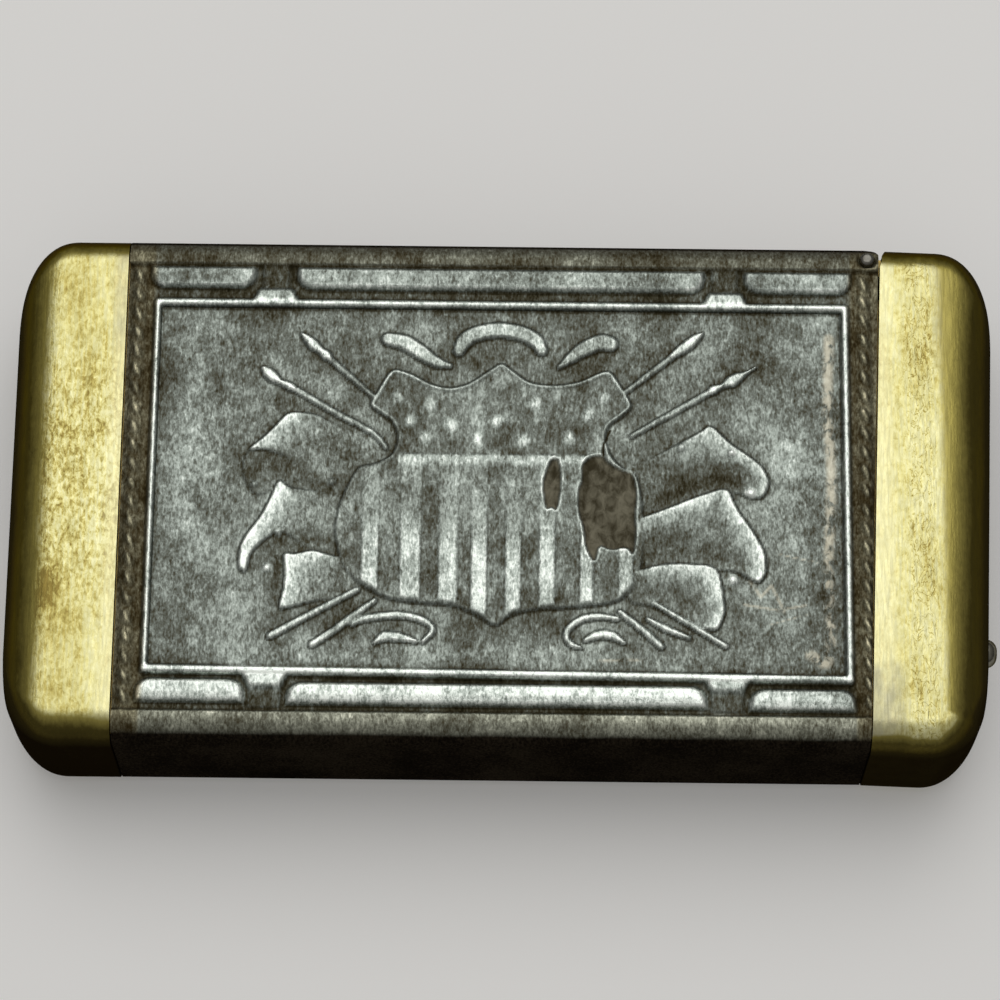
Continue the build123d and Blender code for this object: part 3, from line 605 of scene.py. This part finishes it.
def panel(name, plate, side, step):
    """The stamped panel inside the frame, a closed slab. side is 1 on top and -1 below."""
    lines = [np.linspace(a, b, round((b - a) / step) + 1) for a, b in (PANEL_X, PANEL_Y)]
    X, Y = np.meshgrid(*lines, indexing="ij")
    top = GROUND + plate.read("h", X, Y)
    outer = np.stack([X, side * Y, level(top, side)], 2)
    n, m = X.shape
    low = level(LINING_TOP, side)
    rim = np.concatenate([outer[0], outer[1:, -1], outer[-1, -2::-1], outer[-2:0:-1, 0]])
    foot = rim * (1, 1, 0) + (0, 0, low)
    centre = (np.mean(PANEL_X), side * np.mean(PANEL_Y), low)
    points, count = [outer.reshape(-1, 3), rim, foot], len(rim)
    k = np.arange(count)
    after = (k + 1) % count
    faces = [quads(n, m), n * m + np.stack([k, after, count + after, count + k], 1)]
    total = shut(points, faces, n * m + 2 * count, foot, centre, False)
    faces = [f[:, ::side] for f in faces]
    below = np.zeros(total - n * m)
    fields = {key: np.concatenate([plate.read(key, X, Y).ravel(), below]) for key in FIELDS}
    fields["side_patina_and_shade"] = np.zeros(total)
    return make_mesh(name, np.concatenate(points), faces, fields)


def sleeve_half(name, plate, side, step):
    """Half of the sleeve round a panel: borders, rounded edges, walls and inner face."""
    x = np.concatenate([
        np.arange(SLEEVE_START, PANEL_X[0], 0.125),
        np.linspace(*PANEL_X, int((PANEL_X[1] - PANEL_X[0]) / step) + 1),
        np.linspace(PANEL_X[1], NOTCH_X, 10)[1:],
    ])
    tail = np.linspace(0, 1, 17)[1:]
    flat = np.concatenate([
        np.linspace(-FLAT_HALF, PANEL_Y[0], 32), np.linspace(*PANEL_Y, 160)[1:-1],
        np.linspace(PANEL_Y[1], FLAT_HALF, 30),
    ])
    arc = np.radians(np.concatenate([[0, 10.17], np.linspace(15, 90, 15)]))
    wall = np.linspace(MID, ROUND_LEVEL, 8)[:-1]

    def path(half, top, radius):
        turn, edge = FLAT_HALF + radius * np.cos(arc[:-1]), np.full(len(wall), half)
        y = np.concatenate([-edge, -turn, flat, turn[::-1], edge])
        rise = ROUND_LEVEL + (top - ROUND_LEVEL) * np.sin(arc[:-1])
        z = np.concatenate([wall, rise, np.full(len(flat), top), rise[::-1], wall[::-1]])
        return y, z

    y, z = path(SLEEVE_HALF, STRIP, SLEEVE_ROUND)
    v, w = path(LINING_HALF, LINING_TOP, LINING_ROUND)
    start = len(x)

    def stations(across):
        even = np.repeat(x[:, None], len(across), 1)
        return np.concatenate([even, NOTCH_X + tail[:, None] * (mouth_x(side * across) - NOTCH_X)])

    X, U = stations(y), stations(v)
    U[start:] = X[start:]
    Y = np.broadcast_to(y, X.shape)
    first = len(wall) + len(arc) - 1
    last = first + len(flat)
    on_top = np.zeros(X.shape, bool)
    on_top[:, first:last] = True
    Z = np.where(on_top, GROUND + plate.read("h", X, Y), z)
    # The relief sinks to the ground round the pin's head
    seat = np.hypot(X - PIN[0], side * Y - PIN[1])
    Z = np.where(seat < 0.9, Z + (np.minimum(Z, GROUND) - Z) * ease(seat, 0.78, 0.66), Z)
    # The panel's place stays open, and so does the slit for the hinge in the back wall
    mask = np.ones((X.shape[0] - 1, X.shape[1] - 1), bool)
    i0, i1 = np.searchsorted(x, np.subtract(PANEL_X, 1e-6))
    j0, j1 = first + np.searchsorted(flat, np.subtract(PANEL_Y, 1e-6))
    mask[i0:i1, j0:j1] = False
    mask[start - 1:, ::-side][:, :len(wall) + 1] = False
    outer = np.stack([X, side * Y, level(Z, side)], 2)
    inner = np.stack([U, *(np.broadcast_to(row, X.shape) for row in (side * v, level(w, side)))], 2)
    points, faces = shell(outer, inner, mask)
    faces = [f[:, ::side] for f in faces]
    # How far the surface turns down the side; the sides and the inside are made nearly black,
    # partly patina and partly painted shade
    tilt = 1 - (z - ROUND_LEVEL) / (STRIP - ROUND_LEVEL)
    tilt[first:last] = 0
    side_patina_and_shade = np.broadcast_to(np.clip(tilt, 0, 1.5), X.shape).ravel()
    fields = {}
    for key in FIELDS:
        values = np.where(on_top | (key == "tone"), plate.read(key, X, Y), 0)
        fields[key] = np.concatenate([values.ravel(), np.zeros(X.size)] * 2)
    fields["side_patina_and_shade"] = np.concatenate([side_patina_and_shade, np.ones(X.size)] * 2)
    return make_mesh(name, points, faces, fields)


# ---- caps

PLAN_X, PLAN_Y, END_ROUND = 4.5, 5.6, 3.6
OUTER_CORNER, INNER_CORNER = (2.4, 2.7), (1.05, 1.5)
# Steps of the loop's long side, corner and short side, and of the round end
TOP, BEND, SIDE, TURNS = 124, 12, 16, 26
DENT, LEAF_BACK = 0.02, 0.08
# The inside turns a little tighter at the ends, clear of the catch lever
INNER_ROOM = 0.25


def loop(half_wide, half_high, corner):
    """A rounded rectangle as points across and up, clockwise from the top left: one half, and
    the same turned about the middle."""
    flat, tall = half_wide - corner, half_high - corner
    a = np.linspace(0, pi / 2, BEND + 1)[1:]
    across = np.concatenate([flat * np.linspace(-1, 1, TOP + 1), flat + corner * np.sin(a),
                             np.full(SIDE, half_wide), flat + corner * np.cos(a)])
    up = np.concatenate([np.full(TOP + 1, half_high), tall + corner * np.cos(a),
                         tall * np.linspace(1, -1, SIDE + 1)[1:], -tall - corner * np.sin(a)])
    return [np.concatenate([half, -half[1:-1]]) for half in (across, up)]


def cap_piece(name, place, seam, end, hole, dents, flip, pit=None):
    """A hollow cap: its skin from the seam round the end, the hole's walls, and its inside.
    seam gives the reach of its rim, hole shapes the end face, and pit is the middle of a blind
    hole's floor; without it the hole goes through."""

    def skin(inset, straight):
        snug = INNER_ROOM if inset else 0
        reach = end - PLAN_X + snug
        rows = [(t, 0) for t in np.linspace(0, 1, straight + 1)]
        rows += [(1, angle) for angle in np.linspace(0, pi / 2, TURNS + 1)[1:]]
        out = []
        for t, angle in rows:
            r = reach + (PLAN_X - inset - snug) * sin(angle)
            wide = HALF_WIDTH - PLAN_Y + snug + (PLAN_Y - inset - snug) * cos(angle)
            part = np.clip((r - end + END_ROUND) / (END_ROUND - inset), 0, 1)
            high = MID - END_ROUND + (END_ROUND - inset) * sqrt(1 - part**2)
            low, soft = INNER_CORNER if inset else OUTER_CORNER
            corner = low + (soft - low) * (1 - cos(angle))
            across, up = loop(wide, high, min(corner, high - 0.05))
            start = seam(across)
            along = start + t * (reach - start) + r - reach
            lift = np.clip(np.abs(up) - high + 0.02, 0, 0.02) / 0.02
            up = up - np.sign(up) * dents(along, across, up) * lift * (inset == 0)
            out.append(place(along, across, up + MID))
        return out

    outer, inner = skin(0, 26), skin(CAP_WALL, 5)
    high = MID - END_ROUND
    across, up = loop(HALF_WIDTH - PLAN_Y, high, high - 0.05)
    rings = [place(np.full_like(a, end - depth), a, u + MID) for a, u, depth in hole(across, up)]
    floor = [inner[-1], rings[-1]]
    if pit is not None:
        back = np.full_like(across, end - CAP_WALL)
        floor[1:] = [place(back, s * across, s * up + MID) for s in (0.5, 0.05)]
    groups = [outer, [outer[-1], rings[0]], rings, inner, floor, [outer[0], inner[0]]]
    points, faces, base = [], [], 0
    for number, group in enumerate(groups):
        points.append(np.concatenate(group))
        turned = flip != (number > 2)
        faces.append(quads(len(group), len(across), base, flip=turned, closed=True))
        base += len(points[-1])
    if pit is not None:
        base = shut(points, faces, base, rings[-1], pit, flip)
        shut(points, faces, base, floor[-1], place(end - CAP_WALL, 0, MID), not flip)
    return make_mesh(name, np.concatenate(points), faces)


def dents(seed, depth):
    """Slight unevenness of a hand finished face, never outward."""
    r = np.random.default_rng(seed)
    waves = [(r.uniform(0.25, 0.9), r.uniform(0.15, 0.6), r.uniform(0, 6.3)) for _ in range(6)]
    return lambda along, across, up: depth * (
        1 + sum(np.sin(a * along + b * across + c) for a, b, c in waves) / 6)


def end_place(along, across, up):
    return np.stack(np.broadcast_arrays(-along, across, up), -1)


def lid_place(along, across, up):
    """Lid places: along from the pin axis, across from the middle of the lid's width."""
    v = across - PIN[1]
    x = PIN[0] + along * cos(SKEW) + v * sin(SKEW)
    y = PIN[1] - along * sin(SKEW) + v * cos(SKEW)
    return np.stack(np.broadcast_arrays(x, y, up), -1)


def lid_seam(across):
    """The lid's rim: straight, hollowed round the pin, and cut off to its back corner."""
    v = across - PIN[1]
    foot = -sqrt(LID_EAR**2 - LID_SEAM**2)
    reach = np.where(v > foot, np.sqrt(np.clip(LID_EAR**2 - v**2, 0, None)), LID_SEAM)
    return np.where(v > LID_CUT[0], LID_CUT[1] + (v - LID_CUT[0]) * LID_CUT[2], reach)


def striker_hole(across, up):
    """The end face runs to the striker's seat and down to its floor."""
    a = np.clip(across / (HALF_WIDTH - PLAN_Y) * 1.02, -1, 1) * STRIKER_SEAT[0]
    u = np.clip(up / (MID - END_ROUND) * 1.02, -1, 1) * STRIKER_SEAT[1]
    return [(a, u, 0), (a, u, 0), (a, u, STRIKER_DEPTH)]


def button_hole(across, up):
    """The end face runs to the button's bore and through the wall."""
    turn = np.arctan2(up, across - BUTTON_ACROSS)
    a, u = BUTTON_ACROSS + BORE * np.cos(turn), BORE * np.sin(turn)
    return [(a, u, 0), (a, u, 0), (a, u, CAP_WALL)]


# ---- pieces

panel_front = panel("stamped_panel_front", front, 1, 0.125)
panel_back = panel("stamped_panel_back", back, -1, 0.17)
sleeve_front = sleeve_half("sleeve_front", front, 1, 0.2)
sleeve_back = sleeve_half("sleeve_back", back, -1, 0.26)

end_skin = cap_piece(
    "end_cap_skin", end_place, lambda a: np.full_like(a, END_SEAM), HALF_LENGTH, striker_hole,
    dents(3, DENT), True, (-HALF_LENGTH + STRIKER_DEPTH, 0, MID))
lid_skin = cap_piece(
    "lid_cap_skin", lid_place, lid_seam, LID_END, button_hole, dents(5, DENT), False)


def bending_leaf(name, source, first, last):
    """The catch's leaf, cut across into short lengths. Its tip stands a little back, clear of the
    button."""
    shape = bmesh.new()
    shape.from_mesh(source.data)
    shape.transform(source.matrix_world)
    for y in np.linspace(first, last, 14):
        every = shape.verts[:] + shape.edges[:] + shape.faces[:]
        bmesh.ops.bisect_plane(shape, geom=every, plane_co=(0, y * MM, 0), plane_no=(0, 1, 0))
    for point in shape.verts:
        point.co.x -= LEAF_BACK * MM * float(ease(-point.co.y / MM, 7, 9.8))
    mesh = bpy.data.meshes.new(name)
    shape.to_mesh(mesh)
    shape.free()
    return new_object(name, mesh)


leaf = bending_leaf("catch_leaf_strip", frame["nodes"]["catch_leaf"], -4.2, -10)
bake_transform(leaf)
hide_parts("catch_leaf")

for piece in (panel_front, panel_back, sleeve_front, sleeve_back):
    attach(piece, "case")
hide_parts("embossed_sleeve")
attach(end_skin, "case")
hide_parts("end_cap")
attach(lid_skin, "lid")
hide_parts("lid_cap")


# ---- materials


class Nodes:
    """A node tree whose nodes are added and joined with short calls."""

    def __init__(self, tree):
        self.tree = tree

    def add(self, kind, **settings):
        node = self.tree.nodes.new(kind)
        for key, value in settings.items():
            setattr(node, key, value)
        return node

    def join(self, source, socket):
        """Link a socket to another, or set it to a number or a colour."""
        if isinstance(source, bpy.types.NodeSocket):
            self.tree.links.new(source, socket)
        else:
            socket.default_value = (*source, 1) if isinstance(source, tuple) else source

    def fill(self, node, **sockets):
        """Join the node's sockets by their names."""
        for key, value in sockets.items():
            self.join(value, node.inputs[key.replace("_", " ")])
        return node.outputs[0]

    def math(self, kind, a, b=0):
        node = self.add("ShaderNodeMath", operation=kind)
        self.join(a, node.inputs[0])
        self.join(b, node.inputs[1])
        return node.outputs[0]

    def size(self, value):
        return self.math("ABSOLUTE", value)

    def times(self, *values):
        return reduce(partial(self.math, "MULTIPLY"), values)

    def largest(self, *values):
        return reduce(partial(self.math, "MAXIMUM"), values)

    def weigh(self, *terms):
        """The sum of the terms, where a pair is a factor and its value."""
        values = [self.times(*term) if isinstance(term, tuple) else term for term in terms]
        return reduce(partial(self.math, "ADD"), values)

    def axes(self, vector):
        node = self.add("ShaderNodeSeparateXYZ")
        self.join(vector, node.inputs[0])
        return node.outputs

    def span(self, value, low, high, to_low=0, to_high=1, smooth=True):
        kind = "SMOOTHSTEP" if smooth else "LINEAR"
        node = self.add("ShaderNodeMapRange", interpolation_type=kind)
        for socket, item in zip(node.inputs, (value, low, high, to_low, to_high)):
            self.join(item, socket)
        return node.outputs[0]


class Finish(Nodes):
    """A material with a Principled shader."""

    def __init__(self, name):
        self.material = bpy.data.materials.new(name)
        self.material.use_nodes = True
        super().__init__(self.material.node_tree)
        self.tree.nodes.clear()
        self.out = self.add("ShaderNodeOutputMaterial")
        self.shader = self.add("ShaderNodeBsdfPrincipled")
        self.join(self.shader.outputs[0], self.out.inputs[0])
        self.place = self.add("ShaderNodeTexCoord").outputs["Object"]

    def field(self, name):
        return self.add("ShaderNodeAttribute", attribute_name=name).outputs["Fac"]

    def noise(self, scale, detail=2, rough=0.6, bend=0):
        """Noise with a scale of its own along each axis."""
        stretch = self.add("ShaderNodeMapping")
        stretch.inputs["Scale"].default_value = scale
        place = self.fill(stretch, Vector=self.place)
        return self.fill(self.add("ShaderNodeTexNoise"), Vector=place, Scale=1, Detail=detail,
                         Roughness=rough, Distortion=bend)

    def ramp(self, value, low, high, *stops):
        """Colours along a value from low to high, each stop as (value, colour)."""
        node = self.add("ShaderNodeValToRGB")
        self.join(self.span(value, low, high, smooth=False), node.inputs[0])
        line = node.color_ramp.elements
        while len(line) < len(stops):
            line.new(0.5)
        for item, (at, colour) in zip(line, stops):
            item.position = (at - low) / (high - low)
            item.color = (*colour, 1)
        return node.outputs["Color"]

    def blend(self, share, first, second, kind="MIX"):
        node = self.add("ShaderNodeMix", data_type="RGBA", blend_type=kind)
        for place, item in ((0, share), (6, first), (7, second)):
            self.join(item, node.inputs[place])
        return node.outputs[2]

    def bump(self, height, distance, strength, **below):
        node = self.add("ShaderNodeBump")
        return self.fill(node, Height=height, Distance=distance, Strength=strength, **below)

    def set(self, **sockets):
        self.fill(self.shader, **sockets)
        return self.material


def plate_finish():
    """Worn silver plate: bright on the highs, brown in the lows and round the border, with dirt and
    painted shade beside raised work, and nearly black on the sides and inside, partly patina and
    partly painted shade."""
    f = Finish("worn_silver_plate")
    streak = f.noise((5600, 2000, 4000), bend=0.6)
    grain = f.noise((5200, 3600, 4000))
    fleck = f.noise((1500, 1000, 1000), 3, bend=0.5)
    blotch = f.noise((230, 170, 170), 3, 0.55)
    tone, torn = f.field("tone"), f.field("torn")
    lively = f.weigh(0.9, (0.3, f.largest(tone, 0)))
    marks = f.weigh((1.1, streak), (0.6, grain), (0.8, fleck), -1.25)
    # Darker beside and round raised work and along the thin line below it, as dirt and painted
    # shade
    level = f.weigh(
        0.44, (-1, f.field("fine")), (-0.45, f.field("broad")), (0.52, tone),
        (-0.18, f.field("dirt_and_shadow_line")), blotch, -0.5, f.times(marks, lively))
    colour = f.ramp(
        level, -0.4, 1.4, (-0.35, (0.012, 0.01, 0.004)), (-0.02, (0.044, 0.038, 0.02)),
        (0.13, (0.076, 0.071, 0.046)), (0.25, (0.104, 0.106, 0.082)),
        (0.47, (0.18, 0.198, 0.172)), (0.8, (0.4, 0.445, 0.4)), (1.2, (0.9, 0.95, 0.88)))
    pitted = f.span(f.weigh((0.5, blotch), (0.5, fleck)), 0.38, 0.62)
    pit = f.blend(pitted, (0.046, 0.039, 0.022), (0.18, 0.166, 0.118))
    colour = f.blend(torn, colour, pit)
    worn = f.span(f.weigh((0.6, fleck), (0.4, blotch)), 0.42, 0.54)
    colour = f.blend(f.times(f.field("pink"), worn, 0.72), colour, (0.62, 0.58, 0.45))
    x, y, _ = f.axes(f.place)
    browned = f.largest(
        f.span(f.size(x), 0.0257, 0.0263), f.times(f.span(f.size(y), 0.0171, 0.0175), 0.5))
    colour = f.blend(browned, colour, (0.96, 0.81, 0.6), "MULTIPLY")
    # Nearly black on the sides and inside: partly patina, partly painted shade
    side_patina_and_shade = f.span(f.weigh(f.field("side_patina_and_shade"), (0.14, blotch), -0.07), 0.12, 0.34)
    streaked = f.span(f.weigh((0.6, streak), (0.4, blotch)), 0.38, 0.68)
    patina_and_shade_colour = f.blend(streaked, (0.006, 0.0045, 0.003), (0.026, 0.02, 0.013))
    colour = f.blend(side_patina_and_shade, colour, patina_and_shade_colour)
    bare = f.math("SUBTRACT", 1, f.largest(side_patina_and_shade, f.times(torn, 0.7)))
    metal = f.times(f.span(level, -0.2, 0.3, 0.3, 0.95), bare)
    rough = f.math("ADD", f.span(level, 0, 1, 0.6, 0.36), f.weigh((0.25, streak), -0.12))
    normal = f.bump(f.weigh((0.7, streak), (0.6, grain), (0.6, fleck)), 0.00005, 0.6)
    normal = f.bump(blotch, 0.00012, 0.35, Normal=normal)
    return f.set(Base_Color=colour, Metallic=metal, Roughness=rough, Normal=normal,
                 Specular_IOR_Level=0)


def cap_finish():
    """Brushed and pitted brass, pale where handled and dark round the ends, where the dark is
    partly tarnish and partly painted shade.
    """
    f = Finish("old_cap_brass")
    brush = f.noise((5600, 420, 3000))
    fleck = f.noise((3400, 1900, 2500), 3, 0.65, 0.4)
    mottle = f.noise((420, 150, 300), 3)
    wrinkle = f.noise((2000, 1000, 1600), bend=0.7)
    x, y, _ = f.axes(f.place)
    up = f.size(f.axes(f.add("ShaderNodeNewGeometry").outputs["Normal"])[2])
    lid = f.span(x, 0, 0.01)
    # Coarse pits and a brown stain on the fixed cap, and a band of fine creases across the lid
    pits = f.times(f.span(x, 0.01, -0.01), f.span(f.size(y), 0.013, 0.004), f.weigh(fleck, -0.58))
    stain = f.times(
        f.span(x, -0.0312, -0.0333), f.span(f.size(f.weigh(y, 0.0092)), 0.0042, 0.0008),
        f.span(mottle, 0.35, 0.6))
    band = f.times(f.span(x, 0.0296, 0.0305), f.span(x, 0.0326, 0.0316))
    crease = f.times(band, f.span(f.size(f.weigh(wrinkle, -0.5)), 0.028, 0.004))
    gold = f.weigh(
        (0.9, fleck), (0.85, mottle), (0.75, brush), -1.27, (0.07, f.span(x, -0.01, 0.01)),
        (0.9, pits), (-0.55, stain), (-0.32, crease))
    pale = f.ramp(gold, -0.5, 0.5, (-0.42, (0.24, 0.18, 0.045)), (-0.2, (0.46, 0.39, 0.12)),
                  (0, (0.67, 0.62, 0.27)), (0.3, (0.82, 0.79, 0.45)))
    # A cream band beside each seam, and grey tarnish in three corners
    seam = f.span(f.size(x), 0.0296, 0.0284)
    pale = f.blend(f.times(seam, 0.45), pale, (0.86, 0.82, 0.5))
    tarnish = f.largest(
        f.times(f.span(x, -0.0294, -0.0284), f.span(x, 0.01, 0), f.span(y, 0.0095, 0.0125)),
        f.times(f.span(x, 0.0318, 0.033), f.span(y, 0.0085, 0.011), 0.8),
        f.times(f.span(x, 0.0304, 0.0288), f.span(y, -0.0128, -0.0142), lid))
    pale = f.blend(f.times(tarnish, f.span(mottle, 0.3, 0.55), 0.55), pale, (0.24, 0.23, 0.18))
    # Painted shade makes the lid's end darken early, and a painted highlight makes its front edge
    # bright
    turn = f.weigh(up, (-0.065, f.span(x, 0.0321, 0.0332)),
                   (0.14, f.times(lid, f.span(y, -0.0168, -0.0176))))
    # Olive to nearly black where the faces turn round the ends and sides: partly tarnish, partly
    # painted shade
    edge = f.weigh(turn, (0.24, mottle), (0.12, fleck), -0.18)
    olive = f.ramp(edge, 0, 1, (0.02, (0.012, 0.008, 0.003)), (0.45, (0.034, 0.026, 0.008)),
                   (0.78, (0.11, 0.088, 0.022)), (0.93, (0.32, 0.27, 0.07)))
    shade = f.times(f.weigh((-1, up), 1), f.weigh((1.8, mottle), -0.9))
    colour = f.blend(f.span(f.math("ADD", turn, shade), 0.925, 0.998), olive, pale)
    normal = f.bump(f.weigh((0.8, brush), fleck), 0.00004, 0.5)
    normal = f.bump(f.times(wrinkle, band), 0.00012, 0.6, Normal=normal)
    rough = f.span(brush, 0.3, 0.7, 0.32, 0.5)
    return f.set(Base_Color=colour, Metallic=f.span(edge, 0.3, 0.8), Roughness=rough,
                 Normal=normal, Specular_IOR_Level=0, Specular_Tint=(0.3, 0.26, 0.12))


def plain_metal(name, light, dark, rough_low, rough_high, grain=(4500, 4500, 4500)):
    """A metal with brushed grain, stains and small scratches."""
    f = Finish(name)
    brush = f.noise(grain, 3)
    stain = f.noise((420, 420, 420), 4)
    colour = f.blend(f.span(stain, 0.35, 0.7), light, dark)
    rough = f.span(brush, 0.3, 0.7, rough_low, rough_high)
    return f.set(Base_Color=colour, Metallic=1, Roughness=rough, Specular_Tint=light,
                 Normal=f.bump(brush, 0.00002, 0.4))


FINISHES = {
    "stamped_plate": plate_finish(),
    "cap_brass": cap_finish(),
    "inner_brass": plain_metal(
        "tarnished_inner_brass", (0.5, 0.37, 0.13), (0.22, 0.15, 0.05), 0.32, 0.5,
        (4500, 4500, 600)),
    "bright_steel": plain_metal(
        "worn_bright_steel", (0.26, 0.255, 0.225), (0.1, 0.092, 0.075), 0.2, 0.34),
    "spring_steel": plain_metal(
        "blued_spring_steel", (0.16, 0.18, 0.24), (0.07, 0.07, 0.09), 0.25, 0.42,
        (600, 4500, 4500)),
}
for part in frame["record"]["subparts"]:
    node = frame["nodes"][part["node"]]
    node.data.materials.clear()
    node.data.materials.append(FINISHES[part["material_slot"]])
frame["nodes"]["push_button"].data.materials[0] = plain_metal(
    "worn_button_steel", (0.24, 0.23, 0.19), (0.09, 0.085, 0.065), 0.14, 0.24)
for piece in (panel_front, panel_back, sleeve_front, sleeve_back):
    piece.data.materials.append(FINISHES["stamped_plate"])
for piece in (end_skin, lid_skin):
    piece.data.materials.append(FINISHES["cap_brass"])
leaf.data.materials.append(FINISHES["spring_steel"])


# ---- stage, lights, camera


def pale_surface(name, colour, seen):
    """A pale finish that the camera and mirrors see at its own strength, with shadows."""
    f = Finish(name)
    f.set(Base_Color=colour, Roughness=0.9, Specular_IOR_Level=0.1)
    rays = f.add("ShaderNodeLightPath")
    glow = f.add("ShaderNodeEmission")
    kinds = ("Camera", "Glossy", "Transmission")
    seen_by = f.largest(*(rays.outputs[f"Is {kind} Ray"] for kind in kinds))
    both = f.add("ShaderNodeAddShader")
    f.join(f.shader.outputs[0], both.inputs[0])
    f.join(f.fill(glow, Color=colour, Strength=f.times(seen_by, seen)), both.inputs[1])
    f.join(both.outputs[0], f.out.inputs[0])
    return f.material


FLOOR_REACH, LAMP_PLACE = 1500, (0, 0.3, 0.62)
floor_points = FLOOR_REACH * np.array([(-1, -1, 0), (1, -1, 0), (1, 1, 0), (-1, 1, 0)])
floor = make_mesh("studio_floor", floor_points, [[[0, 1, 2, 3]]])
floor.data.materials.append(pale_surface("studio_floor", (0.86, 0.85, 0.83), 0.14))

# A sky that is brighter overhead, and pale to the camera alone
world = bpy.data.worlds.new("studio")
scene.world = world
world.use_nodes = True
sky = Nodes(world.node_tree)
height = sky.axes(sky.add("ShaderNodeTexCoord").outputs["Generated"])[2]
seen = sky.times(sky.add("ShaderNodeLightPath").outputs["Is Camera Ray"], 0.85)
grade = sky.span(height, 0.05, 0.9, 0.1, 0.45, smooth=False)
sky.fill(sky.tree.nodes["Background"], Color=(1, 0.99, 0.97), Strength=sky.largest(grade, seen))

light = bpy.data.lights.new("softbox_over", "AREA")
light.shape, light.size, light.energy = "SQUARE", 0.64, 1.55
lamp = new_object("softbox_over", light)
lamp.location = LAMP_PLACE
lamp.rotation_euler = (-Vector(LAMP_PLACE)).to_track_quat("-Z", "Y").to_euler()

AZIMUTH, ELEVATION, DISTANCE = radians(0.667), radians(71.15), 314.55
TARGET = Vector((-0.024, 0.998, 6.35)) * MM
away = Vector((sin(AZIMUTH) * cos(ELEVATION), -cos(AZIMUTH) * cos(ELEVATION), sin(ELEVATION)))
right = Vector((cos(AZIMUTH), sin(AZIMUTH), 0))
up = away.cross(right)
lens = bpy.data.cameras.new("camera")
lens.sensor_width, lens.lens = 36, 36 * 4173.5 / 1000
lens.clip_start, lens.clip_end = 0.01, 20
camera = new_object("camera", lens)
camera.matrix_world = Matrix.Translation(TARGET + away * DISTANCE * MM) @ Matrix(
    (right, up, away)).transposed().to_4x4()
scene.camera = camera
scene.view_settings.view_transform = "Standard"
